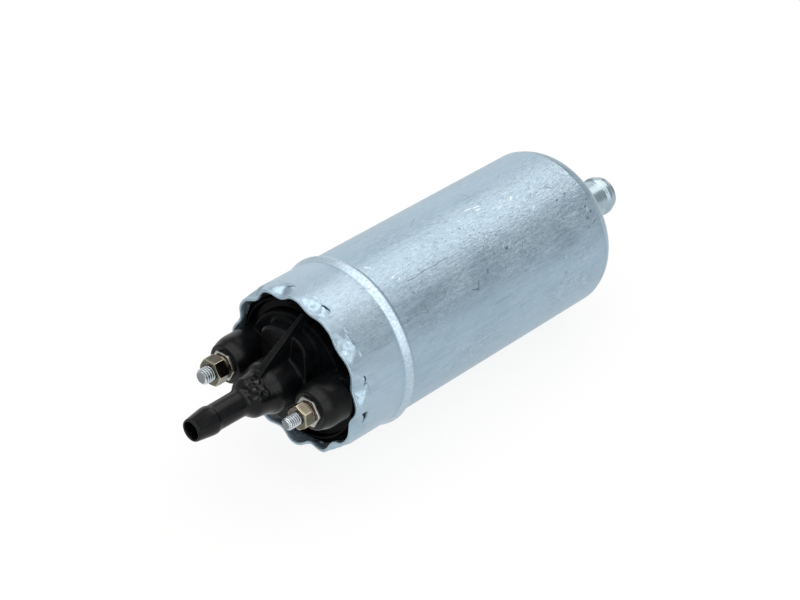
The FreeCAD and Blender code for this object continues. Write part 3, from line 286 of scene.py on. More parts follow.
# marks on the can as (x mm, degrees, x mm, degrees, half width mm, strength); a strength below nought is a bright rub
MARKS = [
    (15.5, 56.6, 33.0, 56.2, 0.16, 0.75), (20.0, 55.9, 29.0, 56.6, 0.12, 0.5),
    (10.2, 34.0, 11.9, 28.4, 0.20, 0.9), (11.9, 28.4, 13.8, 30.2, 0.16, 0.8),
    (-37.2, 54.8, -36.4, 54.6, 0.38, 0.95), (-33.0, 54.0, -32.2, 53.4, 0.42, 0.8), (-34.2, 63.0, -32.6, 65.2, 0.22, 0.7),
    (-32.4, 65.8, -29.5, 67.0, 0.16, 0.6), (-29.0, 66.0, -27.5, 64.5, 0.18, 0.6), (-26.5, 66.5, -22.5, 62.5, 0.14, 0.55),
    (-5.2, 42.6, -4.8, 42.2, 0.45, 0.95), (0.1, 44.0, 0.6, 43.4, 0.30, 0.7), (5.2, 37.4, 5.8, 34.8, 0.26, 0.9),
    (34.0, 48.2, 33.4, 46.2, 0.20, 0.85), (32.6, 38.0, 32.4, 31.5, 0.18, 0.6), (23.4, 40.0, 23.8, 36.0, 0.18, 0.6),
    (24.0, 35.5, 27.0, 34.5, 0.14, 0.5), (30.8, 33.5, 33.6, 33.0, 0.12, 0.45), (40.2, 34.0, 41.4, 32.6, 0.16, 0.5),
    (4.9, 87.5, 5.3, 80.0, 0.24, 0.35), (5.0, 79.2, 13.0, 87.0, 0.18, 0.28), (13.0, 77.0, 23.2, 91.0, 0.16, 0.26),
    (10.5, 98.0, 15.5, 92.0, 0.26, 0.30), (15.5, 92.0, 22.0, 101.0, 0.16, 0.22), (23.0, 109.0, 35.5, 109.0, 0.40, 0.22),
    (-9.6, 97.0, -9.2, 88.5, 0.28, 0.30), (-27.0, 96.0, -24.0, 93.0, 0.22, 0.25), (-38.0, 86.0, -29.0, 79.0, 0.14, 0.30),
    (0.5, 13.2, 7.0, 13.0, 0.24, 0.35), (-25.4, 5.6, -24.8, 5.4, 0.40, 0.45), (-10.0, 2.0, -4.0, 1.2, 0.30, 0.2),
    (-41.2, 41.0, -40.6, 40.0, 0.32, 0.8), (-42.4, 36.0, -41.8, 34.5, 0.30, 0.8), (-40.2, 33.0, -39.6, 32.4, 0.30, 0.7),
    (-42.6, 29.0, -41.2, 27.6, 0.32, 0.75), (-39.0, 27.0, -38.4, 26.0, 0.25, 0.6), (-43.5, 45.0, -42.6, 44.0, 0.26, 0.6),
    # painted shade: the three dark marks at x = 44 run along the bead's crest as its shadow line
    (44.0, 50.5, 44.1, 46.0, 0.22, 0.6), (44.0, 42.0, 44.1, 33.0, 0.20, 0.45), (44.0, 29.0, 44.1, 25.0, 0.18, 0.4),
    (-8.2, 78.0, -6.0, 79.0, 0.20, -0.9), (-5.2, 79.8, -2.6, 81.0, 0.22, -0.9), (-7.6, 75.4, -5.8, 76.4, 0.16, -0.7),
    (39.4, 77.2, 40.8, 79.4, 0.20, -0.9), (-19.6, 71.8, -18.2, 70.4, 0.20, -0.8), (-14.8, 69.6, -12.4, 68.8, 0.14, -0.6),
    (35.6, 64.2, 36.8, 62.8, 0.18, -0.7), (34.4, 60.6, 35.4, 59.4, 0.16, -0.7), (25.5, 67.8, 28.5, 66.4, 0.12, -0.2),
    (-7.6, 45.6, -6.0, 41.8, 0.16, -0.8), (-5.4, 46.4, -3.4, 43.0, 0.14, -0.8), (-10.5, 42.0, -8.6, 40.8, 0.16, -0.7),
    (-9.0, 38.6, -7.4, 36.6, 0.16, -0.7), (-2.5, 48.5, 0.5, 50.0, 0.12, -0.5), (-20.5, 47.0, -18.0, 45.0, 0.12, -0.5),
    (-24.0, 58.0, -22.8, 55.4, 0.14, -0.6), (-30.5, 44.0, -28.5, 42.6, 0.12, -0.5), (-41.6, 38.4, -40.8, 36.8, 0.20, -0.8),
    # the far side
    (-22.0, 190.0, -6.0, 193.0, 0.16, 0.6), (8.0, 215.0, 9.2, 209.0, 0.20, 0.8), (20.0, 236.0, 31.0, 234.0, 0.14, 0.5),
    (-35.0, 250.0, -33.8, 249.0, 0.40, 0.8), (-12.0, 268.0, -3.0, 275.0, 0.16, -0.7), (30.0, 172.0, 33.0, 178.0, 0.16, -0.7),
    (12.0, 288.0, 12.8, 287.0, 0.36, 0.8), (-30.0, 310.0, -16.0, 306.0, 0.14, 0.5), (24.0, 300.0, 26.0, 306.0, 0.18, 0.6),
    (2.0, 158.0, 3.0, 156.6, 0.34, 0.7), (-20.0, 140.0, -13.0, 143.0, 0.16, -0.6), (35.0, 262.0, 37.0, 258.0, 0.18, -0.7),
]


def can_material(name, marks=(), metal=0.86):
    """Frosted drawn aluminium: grain along the axis, cloudy tone, a handled zone of flecks and dents, pits and scratches."""
    m = Mat(name)
    xyz = m.xyz()
    ang = m.math("ARCTAN2", xyz[2], xyz[1])
    fine = m.noise(m.scaled(1500, 4200, 4200), 1.0, 3.0, 0.65)
    streak = m.noise(m.scaled(70, 1300, 1300), 1.0, 3.0, 0.6)
    cloud = m.noise(m.scaled(75, 150, 150), 1.0, 5.0, 0.66, 0.5)
    patch = m.noise(m.scaled(25, 45, 45, loc=(3.1, 0.4, 1.7)), 1.0, 3.0, 0.55)
    fleck = m.noise(m.scaled(700, 1000, 1000, loc=(1.7, 0.9, 3.3), rot=(0.3, 0.5, 0.2)), 1.0, 5.0, 0.72, 1.0)
    cross = m.noise(m.scaled(520, 2600, 1500, loc=(4.7, 2.9, 0.3), rot=(0.9, 0.4, 1.1)), 1.0, 2.0, 0.55, 0.3)
    zone = m.math("MULTIPLY", m.remap(ang, 0.34, 0.62, 0.0, 1.0), m.remap(ang, 1.75, 1.20, 0.0, 1.0))
    where = m.noise(m.scaled(55, 95, 95, loc=(6.1, 3.4, 8.7)), 1.0, 3.0, 0.6)
    wear = m.math("MAXIMUM", m.math("MULTIPLY", zone, m.remap(where, 0.34, 0.56, 0.45, 1.0)), m.remap(where, 0.50, 0.70, 0.12, 0.75))
    wear = m.math("MULTIPLY", wear, m.remap(xyz[0], -0.0446, -0.0440, 0.12, 1.0))
    # handled more towards the closed end
    wear = m.math("MULTIPLY", wear, m.remap(xyz[0], 0.040, -0.034, 0.62, 1.10))
    pit = m.voronoi(m.scaled(520, 520, 520), 1.0)
    pick = m.noise(m.scaled(95, 95, 95, loc=(7, 2, 5)), 1.0, 2.0, 0.5)
    pits = m.math("MULTIPLY", m.remap(pit, 0.06, 0.18, 1.0, 0.0), m.remap(pick, 0.58, 0.66, 0.0, 1.0))
    pits = m.math("MULTIPLY", pits, m.remap(wear, 0.2, 0.8, 0.15, 1.0))
    hair = None
    for k, (rot, loc) in enumerate((((0.5, 0.3, 0.9), (1.3, 4.2, 0.7)), ((1.9, 1.1, 0.2), (8.2, 0.3, 5.1)), ((0.2, 2.2, 2.4), (2.7, 6.1, 9.4)))):
        lines = m.noise(m.scaled(1900, 240, 620, loc=loc, rot=rot), 1.0, 2.0, 0.6, 1.2)
        spot = m.noise(m.scaled(260, 260, 260, loc=(loc[1], loc[2], loc[0])), 1.0, 3.0, 0.6)
        h = m.math("MULTIPLY", m.remap(lines, 0.64, 0.74, 0.0, 1.0), m.remap(spot, 0.56, 0.66, 0.0, 1.0))
        hair = h if hair is None else m.math("MAXIMUM", hair, h)
    hair = m.math("MULTIPLY", hair, m.remap(wear, 0.1, 0.8, 0.3, 1.0))
    tone = m.ramp(cloud, [(0.30, (0.255, 0.360, 0.440)), (0.5, (0.303, 0.416, 0.502)), (0.72, (0.355, 0.472, 0.560))])
    tone = m.mix(m.remap(patch, 0.42, 0.68, 0.0, 0.40), tone, (0.240, 0.338, 0.420))
    tone = m.mix(m.remap(streak, 0.38, 0.70, 0.0, 0.50), tone, (0.40, 0.51, 0.59))
    # painted light: the collar past the bead is coloured lighter, standing in for the brighter light it catches
    tone = m.mix(m.remap(xyz[0], 0.0470, 0.0490, 0.0, 0.15), tone, (0.52, 0.63, 0.71))
    tone = m.mix(m.math("MULTIPLY", m.remap(fleck, 0.52, 0.68, 0.0, 0.75), wear), tone, (0.50, 0.60, 0.67))
    tone = m.mix(m.math("MULTIPLY", m.remap(fleck, 0.48, 0.32, 0.0, 0.70), wear), tone, (0.155, 0.225, 0.290))
    stroke = m.noise(m.scaled(430, 2300, 2300, loc=(2.2, 7.1, 4.4), rot=(0.0, 0.12, -0.10)), 1.0, 3.0, 0.62, 0.6)
    brush = m.remap(wear, 0.05, 0.75, 0.22, 1.0)
    tone = m.mix(m.math("MULTIPLY", m.remap(stroke, 0.54, 0.68, 0.0, 0.50), brush), tone, (0.52, 0.62, 0.69))
    tone = m.mix(m.math("MULTIPLY", m.remap(stroke, 0.46, 0.31, 0.0, 0.55), brush), tone, (0.150, 0.222, 0.285))
    grit = m.noise(m.scaled(2100, 2600, 2600, loc=(9.2, 0.1, 5.4)), 1.0, 2.0, 0.6)
    tone = m.mix(m.math("MULTIPLY", m.remap(grit, 0.56, 0.72, 0.0, 0.50), wear), tone, (0.56, 0.66, 0.73))
    tone = m.mix(m.math("MULTIPLY", m.remap(grit, 0.44, 0.28, 0.0, 0.60), wear), tone, (0.130, 0.195, 0.250))
    tone = m.mix(m.math("MULTIPLY", pits, 0.8), tone, (0.07, 0.085, 0.10))
    tone = m.mix(m.math("MULTIPLY", hair, 0.40), tone, (0.62, 0.70, 0.75))
    rough = m.remap(cloud, 0.3, 0.7, 0.34, 0.47)
    rough = m.math("ADD", rough, m.remap(streak, 0.3, 0.7, -0.05, 0.05))
    rough = m.math("SUBTRACT", rough, m.math("MULTIPLY", hair, 0.12), clamp=True)
    height = m.math("ADD", m.math("MULTIPLY", fine, 0.25), m.math("MULTIPLY", streak, 0.45))
    dents = m.math("MULTIPLY", m.math("ADD", m.math("MULTIPLY", fleck, 0.75), m.math("MULTIPLY", cross, 0.45)), wear)
    dents = m.math("SUBTRACT", m.math("MULTIPLY_ADD", stroke, 0.35, dents), m.math("MULTIPLY", pits, 0.9))
    if marks:
        join = m.nt.nodes.new("ShaderNodeCombineXYZ")
        m.link(xyz[0], join.inputs[0])
        # the seam of the unrolled surface lies at the bottom, at -100 degrees
        lap = m.math("ADD", ang, m.math("MULTIPLY", m.math("LESS_THAN", ang, -1.7453), TAU))
        m.link(m.math("MULTIPLY", lap, 0.026), join.inputs[1])
        wob = m.nt.nodes.new("ShaderNodeTexNoise")
        m.link(m.scaled(420), wob.inputs["Vector"])
        wob.inputs["Scale"].default_value = 1.0
        wob.inputs["Detail"].default_value = 2.0
        shift = m.nt.nodes.new("ShaderNodeVectorMath")
        shift.operation = "MULTIPLY_ADD"
        m.link(wob.outputs["Color"], shift.inputs[0])
        shift.inputs[1].default_value = (0.0014, 0.0014, 0.0)
        m.link(join.outputs[0], shift.inputs[2])
        here = shift.outputs[0]
        sums = {1: 0.0, -1: 0.0}
        for xa, ta, xb, tb, half, power in marks:
            if ta > 260.0:
                ta, tb = ta - 360.0, tb - 360.0
            # the wobble adds 0.7 mm on average, so the ends are moved to match
            a = Vector((xa * MM + 0.0007, math.radians(ta) * 0.026 + 0.0007, 0.0))
            d = Vector((xb * MM, math.radians(tb) * 0.026, 0.0)) - Vector((xa * MM, math.radians(ta) * 0.026, 0.0))
            p = m.vec("SUBTRACT", here, a)
            t = m.vec("DOT_PRODUCT", p, d / d.length_squared, out="Value")
            t = m.math("MINIMUM", m.math("MAXIMUM", t, 0.0), 1.0)
            foot = m.nt.nodes.new("ShaderNodeVectorMath")
            foot.operation = "SCALE"
            foot.inputs[0].default_value = d
            m.link(t, foot.inputs["Scale"])
            far = m.vec("DISTANCE", p, foot.outputs[0], out="Value")
            # full strength inside 0.45 of the half width, fading to nothing at 1.15
            slope = -abs(power) / (0.70 * half * MM)
            f = m.math("MULTIPLY_ADD", far, slope, abs(power) * 1.15 / 0.70)
            f = m.math("MINIMUM", f, abs(power))
            key = 1 if power > 0 else -1
            sums[key] = m.math("MAXIMUM", f, sums[key])
        tone = m.mix(m.math("MULTIPLY", sums[1], 0.80), tone, (0.075, 0.105, 0.135))
        tone = m.mix(m.math("MULTIPLY", sums[-1], 0.85), tone, (0.80, 0.86, 0.90))
    # painted shade: a thin dark line coloured along the crease where the drawn corner meets the barrel, patchy along
    # its length
    crease_shade = m.math("MULTIPLY", m.remap(xyz[0], -0.0447, -0.0443, 0.0, 1.0), m.remap(xyz[0], -0.0440, -0.0443, 0.0, 1.0))
    tone = m.mix(m.math("MULTIPLY", crease_shade, m.remap(where, 0.35, 0.60, 0.10, 0.70)), tone, (0.060, 0.080, 0.100))
    # painted shade: the stakes' slits (attribute pit) are coloured near black, standing in for the shadow inside them
    tone = m.mix(m.math("MULTIPLY", m.attr("pit"), 0.92), tone, (0.012, 0.013, 0.015))
    if marks:
        # crumpled metal between the stakes: facets as bumps, with painted highlights coloured along their ridges
        fold = m.attr("fold")
        where = m.scaled(140, 235, 235, loc=(3.3, 1.9, 6.4), rot=(0.2, 0.1, 0.35))
        ridge_highlight = m.remap(m.voronoi(where, feature="DISTANCE_TO_EDGE"), 0.0, 0.035, 1.0, 0.0)
        facet = m.voronoi(where)
        tone = m.mix(m.math("MULTIPLY", m.math("MULTIPLY", ridge_highlight, fold), 0.16), tone, (0.80, 0.86, 0.90))
        dents = m.math("MULTIPLY_ADD", m.math("MULTIPLY", facet, fold), -0.55, dents)
        # the bead's outlet flank is coloured lighter, partly wear and partly a painted highlight
        tone = m.mix(m.math("MULTIPLY", m.attr("bead_rub_and_sheen"), m.remap(stroke, 0.30, 0.62, 0.05, 0.38)), tone, (0.72, 0.80, 0.86))
    soft = m.noise(m.scaled(110, 160, 160, loc=(0.4, 9.1, 2.2)), 1.0, 3.0, 0.55)
    n1 = m.bump(soft, 0.45, 0.00030)
    n2 = m.bump(dents, 1.0, 0.00013, n1)
    n3 = m.bump(height, 1.0, 0.00004, n2)
    if marks:
        m.set(Metallic=m.remap(m.attr("inside"), 0.0, 1.0, metal, 0.25))
    else:
        m.set(Metallic=metal)
    m.set(Base_Color=tone, Roughness=rough, Normal=n3)
    return m.mat


def steel_material(name, light, dark, rough=(0.22, 0.42), grain=2600, tint=None, tint_amount=0.0, groove=0.0, worn_and_edge_highlight=None):
    """Plated steel: cloudy plating, fine grain, tool marks, painted shade in the thread roots and on the stud's end,
    and edges coloured lighter as wear and painted highlight.
    """
    m = Mat(name)
    cloud = m.noise(m.scaled(520, 520, 520), 1.0, 4.0, 0.6, 0.6)
    fine = m.noise(m.scaled(grain, grain, grain), 1.0, 3.0, 0.6)
    lines = m.noise(m.scaled(3800, 260, 260, rot=(0.1, 0.2, 0.5)), 1.0, 2.0, 0.6)
    tone = m.ramp(cloud, [(0.32, dark), (0.66, light)])
    if tint:
        t = m.noise(m.scaled(300, 340, 300, loc=(5, 1, 3)), 1.0, 2.0, 0.5, 0.8)
        tone = m.mix(m.remap(t, 0.42, 0.60, 0.0, tint_amount), tone, tint)
    tone = m.mix(m.remap(lines, 0.58, 0.74, 0.0, 0.35), tone, tuple(min(1.0, c * 1.5) for c in light))
    # painted shade: the thread roots and the stud's end face are coloured darker where shade would fall
    if groove:
        tone = m.mix(m.math("MULTIPLY", m.attr("groove"), groove), tone, (0.035, 0.035, 0.033))
    # the nut's corners and front edge are coloured lighter, partly wear and partly a painted edge highlight
    if worn_and_edge_highlight:
        tone = m.mix(m.attr("worn_and_edge_highlight"), tone, worn_and_edge_highlight)
    height = m.math("ADD", m.math("MULTIPLY", fine, 0.6), m.math("MULTIPLY", lines, 0.4))
    m.set(
        Base_Color=tone,
        Metallic=1.0,
        Roughness=m.remap(cloud, 0.3, 0.7, rough[0], rough[1]),
        Normal=m.bump(height, 0.45, 0.00002),
    )
    return m.mat


def plastic_material(name, base=(0.0018, 0.0018, 0.0020), pale=(0.0046, 0.0053, 0.0064), level=0.17, rough=(0.23, 0.34), recess=None, rub_and_glint=False):
    """Semi-matte moulded plastic with a fine moulded grain, dusty wipes and specks, and, where asked, painted glints
    with a little rub on the tops of the nose lumps.
    """
    m = Mat(name)
    grain = m.noise(m.scaled(4200), 1.0, 3.0, 0.65)
    wave = m.noise(m.scaled(420), 1.0, 2.0, 0.5)
    cloud = m.noise(m.scaled(170, 210, 210), 1.0, 4.0, 0.6, 0.5)
    wipe = m.noise(m.scaled(90, 900, 700, rot=(0.4, 0.6, 0.2)), 1.0, 3.0, 0.6)
    tone = m.ramp(cloud, [(0.3, base), (0.75, pale)])
    k = 3.0
    tone = m.mix(m.remap(wipe, 0.60, 0.74, 0.0, 0.30), tone, tuple(min(1.0, k * c) for c in pale))
    dust = m.voronoi(m.scaled(900), 1.0)
    pick = m.noise(m.scaled(240), 1.0, 1.0, 0.5)
    specks = m.math("MULTIPLY", m.remap(dust, 0.04, 0.10, 1.0, 0.0), m.remap(pick, 0.64, 0.70, 0.0, 1.0))
    tone = m.mix(m.math("MULTIPLY", specks, 0.5), tone, (0.22, 0.22, 0.22))
    # painted highlight: the tops of the nose lumps are coloured lighter as glints, with a little rub
    if rub_and_glint:
        tone = m.mix(m.math("MULTIPLY", m.attr("rub_and_glint"), m.remap(cloud, 0.40, 0.60, 0.25, 0.9)), tone, (0.075, 0.078, 0.085))
    m.set(Base_Color=tone, Roughness=m.remap(cloud, 0.3, 0.75, *rough), Normal=m.bump(grain, 0.45, 0.00002, m.bump(wave, 0.25, 0.00010)))
    if recess is None:
        m.bsdf.inputs["Specular IOR Level"].default_value = level
    else:
        # the floor of the cap has a duller mould finish than its raised parts
        m.put(m.bsdf.inputs["Specular IOR Level"], m.remap(m.xyz()[0], 0.0655, 0.0745, recess, level))
    return m.mat


MATS = {
    "can": can_material("satin_aluminium", MARKS),
    "cap": plastic_material("black_nylon", recess=0.025, rub_and_glint=True),
    "stud": steel_material("zinc_stud", (0.72, 0.78, 0.81), (0.52, 0.57, 0.60), (0.26, 0.38), groove=0.72),
    "plate": steel_material("zinc_plate", (0.46, 0.46, 0.44), (0.30, 0.30, 0.28), (0.22, 0.36), 2200),
    "nut": steel_material("yellow_nut", (0.122, 0.136, 0.098), (0.072, 0.078, 0.054), (0.15, 0.25), 2400, (0.145, 0.108, 0.098), 0.55, worn_and_edge_highlight=(0.78, 0.70, 0.54)),
    "washer": steel_material("pink_washer", (0.22, 0.19, 0.14), (0.11, 0.10, 0.07), (0.20, 0.36), 2400, (0.34, 0.24, 0.20), 0.6),
    "spigot": steel_material("bright_tube", (0.375, 0.465, 0.525), (0.308, 0.394, 0.450), (0.25, 0.33), 1500),
}

# ---------------------------------------------------------------- can
# stakes round the rim, as they fall on this pump, degrees from +Y
NOTCH = np.array([158.7, 128.7, 100.7, 72.7, 39.7, 8.7, -19.3, -51.3, -77.3, -106.3, -138.0, -169.6])
rng = np.random.default_rng(11)
N_DEPTH = 1.85 * (1 + 0.09 * rng.uniform(-1, 1, 12))
# each stake's slit: where it lies off the dent's middle, its x, its lean in mm a degree, half width, form (0 sliver, 1 wedge)
N_SHIFT = np.array([-3.0, 1.5, -3.2, -5.8, -1.0, 5.2, 5.0, -2.5, 3.0, -4.0, 1.0, -2.0])
N_SLIT = np.array([62.1, 61.8, 62.3, 61.9, 61.2, 62.1, 62.9, 62.0, 62.4, 61.9, 62.2, 62.0])
N_LEAN = np.array([0.06, 0.04, 0.07, 0.06, 0.05, -0.03, 0.02, 0.05, -0.04, 0.06, 0.03, 0.05])
N_WIDE = np.array([0.55, 0.40, 0.62, 0.46, 0.12, 0.42, 1.15, 0.60, 0.45, 0.70, 0.50, 0.45])
N_FORM = np.array([0.6, 0.2, 0.4, 0.1, 0.0, 0.3, 1.0, 0.5, 0.2, 0.8, 0.3, 0.5])
N_LONG = np.array([1.2, 0.9, 1.1, 1.0, 1.0, 1.0, 1.7, 1.2, 0.9, 1.3, 1.0, 1.0])
N_CUT = np.array([0.8, 0.7, 0.95, 0.85, 0.30, 0.85, 1.0, 0.75, 0.6, 0.9, 0.7, 0.85])
N_CRUMPLE = np.array([0.3, 0.5, 0.3, 0.6, 1.3, 1.0, 0.2, 0.6, 0.3, 0.6, 0.7, 0.3])
N_STEP = np.array([0.08, 0.15, 0.08, 0.14, 0.58, 0.42, 0.08, 0.20, 0.08, 0.18, 0.22, 0.08])
CREASE = [(rng.uniform(0, math.pi), rng.uniform(1.5, 3.2), rng.uniform(0, 1)) for _ in range(7)]
WALL = 1.15


def rim(x, th):
    """Outer radius of the rim at x (mm) and th (degrees), how much painted shade the point gets inside a stake's slit,
    and how crumpled it is.
    """
    s = np.clip((x - 59.5) / 6.9, 0, 1)
    base = 26.18 - 0.42 * s ** 2.2
    wave = np.zeros_like(x)
    pit = np.zeros_like(x)
    dark = np.zeros_like(x)
    lift = np.zeros_like(x)
    arc = np.radians(th) * 26.0
    folds = np.zeros_like(x)
    for ang, lam, ph in CREASE:
        t = (x * math.cos(ang) + arc * math.sin(ang)) / lam + ph
        folds += lam * 0.027 * (2 * np.abs(t - np.floor(t + 0.5)) - 0.5)
    rough = np.zeros_like(x)
    for k in range(12):
        d = (th - NOTCH[k] + 180) % 360 - 180
        reach = 8.0 + 6.5 * smooth01((x - 62.3) / 3.4)
        w = (0.5 + 0.5 * np.cos(math.pi * np.clip(d / reach, -1, 1))) ** 1.2
        wave += N_DEPTH[k] * smooth01((x - 60.8) / 5.2) * w
        # the slit: steep sides, running out to a point
        q = (d - N_SHIFT[k]) / N_LONG[k]
        run = np.clip((q + 3.5) / 7.0, 0, 1)
        half = N_WIDE[k] * ((1 - N_FORM[k]) * np.sin(math.pi * run) ** 0.8 + N_FORM[k] * run) + 1e-3
        ends = np.clip(run / 0.10, 0, 1) * np.clip((1 - run) / 0.08, 0, 1)
        soft = np.exp(-(q / 4.6) ** 4)
        xc = N_SLIT[k] + N_LEAN[k] * q * N_LONG[k]
        across = np.clip(1 - np.abs(x - xc) / half, 0, 1)
        pit = np.maximum(pit, 1.15 * N_CUT[k] * across ** 0.5 * ends)
        # painted shade: the slit's floor is marked to be coloured near black, in place of the shadow inside it
        dark = np.maximum(dark, smooth01((across - 0.02) / 0.22) * ends * smooth01((N_CUT[k] - 0.25) / 0.4))
        # metal turned up on the outlet side, a sharp lip on the inlet side
        up = (x - xc - half) / 1.5
        lift += 0.50 * N_CUT[k] * np.clip(1 - up, 0, 1) * smooth01((x - xc) / 0.25) * np.clip((3.4 - np.abs(q + 0.5)) / 0.6, 0, 1) * (1 - 0.12 * np.abs(q))
        lift += 0.14 * N_CUT[k] * np.exp(-((x - (xc - half - 0.12)) / 0.20) ** 2) * soft
        # a fold where the metal drops inward beside the stake
        xf = 61.15 + 0.045 * d
        band = np.exp(-(d / 7.8) ** 4)
        lift -= N_STEP[k] * smooth01((x - xf) / 0.28) * smooth01((65.7 - x) / 3.0) * band
        lift += 0.26 * N_STEP[k] * np.exp(-((x - xf + 0.10) / 0.16) ** 2) * band
        rough += N_CRUMPLE[k] * np.exp(-(d / 8.5) ** 2)
    lift += folds * np.minimum(rough + 0.18, 1.3) * smooth01((x - 61.0) / 0.6) * smooth01((66.2 - x) / 0.9)
    fold = np.clip(rough + 0.15, 0, 1) * smooth01((x - 61.0) / 0.4)
    return base - wave - pit + lift, dark, fold


def can_profile():
    """Outside of the can from its hole over the closed end, barrel and bead to x = 58.5, as (x, r)."""
    pts = [(-50.7, 6.05)]
    c = 7.7
    for k in range(0, 4):
        pts.append((-50.7, 6.05 + (18.3 - 6.05) * (k + 1) / 4.0))
    # the drawn corner leaves the barrel at a slight crease
    for a in np.linspace(0, 79.0, 12)[1:]:
        pts.append((-50.7 + c - c * math.cos(math.radians(a)), 26.0 - c + c * math.sin(math.radians(a))))
    pts += [(-44.25, 25.98), (-44.0, 26.0)]
    for x in np.linspace(-38.0, 41.0, 11):
        pts.append((x, 26.0))
    bead = fillet([(41.6, 26.0), (42.85, 26.0, 1.1), (44.35, 27.26, 0.65), (46.95, 26.19, 0.9), (48.2, 26.19)], closed=False, arc=10)
    pts += [tuple(p) for p in dense(bead, 0.30, closed=False)]
    for x in (50.0, 52.5, 55.0, 57.4):
        pts.append((x, 26.19))
    return np.array(pts)


def build_can():
    seg = 600
    th = np.arange(seg) * 360.0 / seg
    rows = []
    pits = []
    ins = []
    folds = []
    bead_rub_and_sheen = []

    def ring(x, r, p=None, inside=0.0, fold=None):
        x = np.broadcast_to(x, th.shape)
        r = np.broadcast_to(r, th.shape)
        rows.append(np.stack([x, r * np.cos(np.radians(th)), r * np.sin(np.radians(th))], -1))
        pits.append(np.zeros(seg) if p is None else p)
        ins.append(np.full(seg, min(1.0, inside)))
        folds.append(np.zeros(seg) if fold is None else fold)
        # marks the bead's outlet flank for its lighter colour: wear and painted highlight
        bead_rub_and_sheen.append(np.full(seg, 1.0 if 44.1 < np.mean(x) < 46.75 and np.mean(r) > 26.2 else 0.0))

    prof = can_profile()
    for x, r in prof:
        ring(x, r)
    xs = np.concatenate([np.linspace(58.4, 60.5, 6), np.linspace(60.6, 65.75, 50)])
    end_shift = np.zeros(seg)
    for k in range(12):
        d = (th - NOTCH[k] + 180) % 360 - 180
        end_shift += 0.38 * (0.5 + 0.5 * np.cos(math.pi * np.clip(d / 13, -1, 1)))
    end_shift += 0.07 * np.sin(np.radians(th * 5 + 40)) + 0.05 * np.sin(np.radians(th * 13 + 80))
    for x in xs:
        shift = end_shift * smooth01((x - 62.0) / 3.75)
        xx = x - shift
        # pit here is the slit's painted-shade mask from rim()
        r, pit, fold = rim(np.full(seg, x), th)
        ring(xx, r, pit, fold=fold)
    x_end = 65.75 - end_shift
    r_end, _, _ = rim(np.full(seg, 65.75), th)
    half = 0.5 * 1.0
    for a in np.linspace(90, -90, 11)[1:-1]:
        ca, sa = math.cos(math.radians(a)), math.sin(math.radians(a))
        ring(x_end + 0.55 * abs(ca) ** 0.7, r_end - half + half * math.copysign(abs(sa) ** 0.8, sa), inside=max(0.0, 0.5 - sa))
    for x in xs[::-4]:
        shift = end_shift * smooth01((x - 62.0) / 3.75)
        r, pit, _ = rim(np.full(seg, x), th)
        wall = WALL - 0.15 * smooth01((x - 60) / 5.5)
        ring(x - shift, r + 0.3 * pit - wall, inside=1.0)
    inner = [(58.0, 25.0), (47.6, 25.0), (46.2, 25.35), (44.5, 26.0), (42.8, 25.2), (41.6, 24.8)]
    inner += [(x, 24.8) for x in np.arange(38, -42, -8.0)]
    ic = 6.5
    for a in np.linspace(90, 0, 9):
        inner.append((-50.7 + 7.7 - ic * math.cos(math.radians(a)), 24.8 - ic + ic * math.sin(math.radians(a))))
    inner += [(-49.5, 12.0), (-49.5, 6.05)]
    for x, r in inner:
        ring(x, r)
    v = np.array(rows)
    return make("can_body", v, [grid_faces(len(rows), seg, True, True, flip=True)], MATS["can"],
                nodes=["housing_can"], slot="satin_aluminium", attrs={"pit": np.concatenate(pits), "inside": np.concatenate(ins), "fold": np.concatenate(folds), "bead_rub_and_sheen": np.concatenate(bead_rub_and_sheen)}, sharp=42)


build_can()

# ---------------------------------------------------------------- inlet tube
prof = fillet([
    (-74.9, 4.85, 0.15), (-74.9, 5.25, 0.2), (-74.55, 5.62, 0.25), (-73.8, 5.68, 0.2), (-73.1, 5.78, 0.3),
    (-72.5, 6.43, 0.45), (-71.2, 6.43, 0.5), (-70.4, 5.72, 0.5), (-69.0, 5.70, 0.4), (-64.0, 5.80, 0.5),
    (-56.5, 5.88, 0.5), (-53.6, 6.0, 0.8), (-52.0, 6.15, 1.0), (-50.72, 7.4, 0.3), (-50.72, 6.0, 0.0), (-49.49, 6.0, 0.0), (-49.49, 7.1, 0.1),
    (-49.05, 6.7, 0.1), (-49.05, 5.1, 0.1), (-49.4, 4.8, 0.1),
])
turned("inlet_spigot", dense(prof, 0.8), 144, MATS["spigot"], nodes=["inlet_tube"], slot="satin_aluminium")


# ---------------------------------------------------------------- cap, moulded in one with soft fillets
def smin(a, b, k):
    h = np.clip(0.5 + 0.5 * (b - a) / k, 0, 1)
    return b + (a - b) * h - k * h * (1 - h)


def smax(a, b, k):
    return -smin(-a, -b, k)


RA = math.radians(78.0)
CR, SR = math.cos(RA), math.sin(RA)
BARB = np.array([
    (60.0, 8.6), (70.0, 8.2), (77.4, 8.0), (78.4, 7.72), (79.6, 7.1), (81.0, 6.68), (83.4, 6.3), (84.3, 6.15), (85.0, 5.85), (85.9, 5.1), (86.9, 4.42), (87.6, 4.15),
    (88.4, 4.04), (92.0, 4.0), (97.0, 3.98), (97.7, 4.03), (98.2, 4.18), (98.7, 4.32), (99.2, 4.35), (99.7, 4.34), (101.0, 4.18), (103.0, 3.88), (105.4, 3.53), (105.85, 3.40), (106.1, 3.1), (107.0, 2.2),
])


def lumps(x, y, z):
    """Uneven moulded lumps on the upper side of the nose, from -1 to 1."""
    ang = np.arctan2(z, y)
    s = 5.6 * ang
    a = np.degrees(ang)
    mask = smooth01((x - 80.9) / 1.2) * smooth01((87.0 - x) / 1.2) * smooth01((a - 20) / 12) * smooth01((92 - a) / 12)
    f = np.sin(2.15 * x + 0.8 * s + 0.4) * np.sin(1.95 * s - 0.6 * x + 1.1) + 0.6 * np.sin(1.4 * x - 2.4 * s + 2.0)
    return mask * np.clip(f, -1, 1)


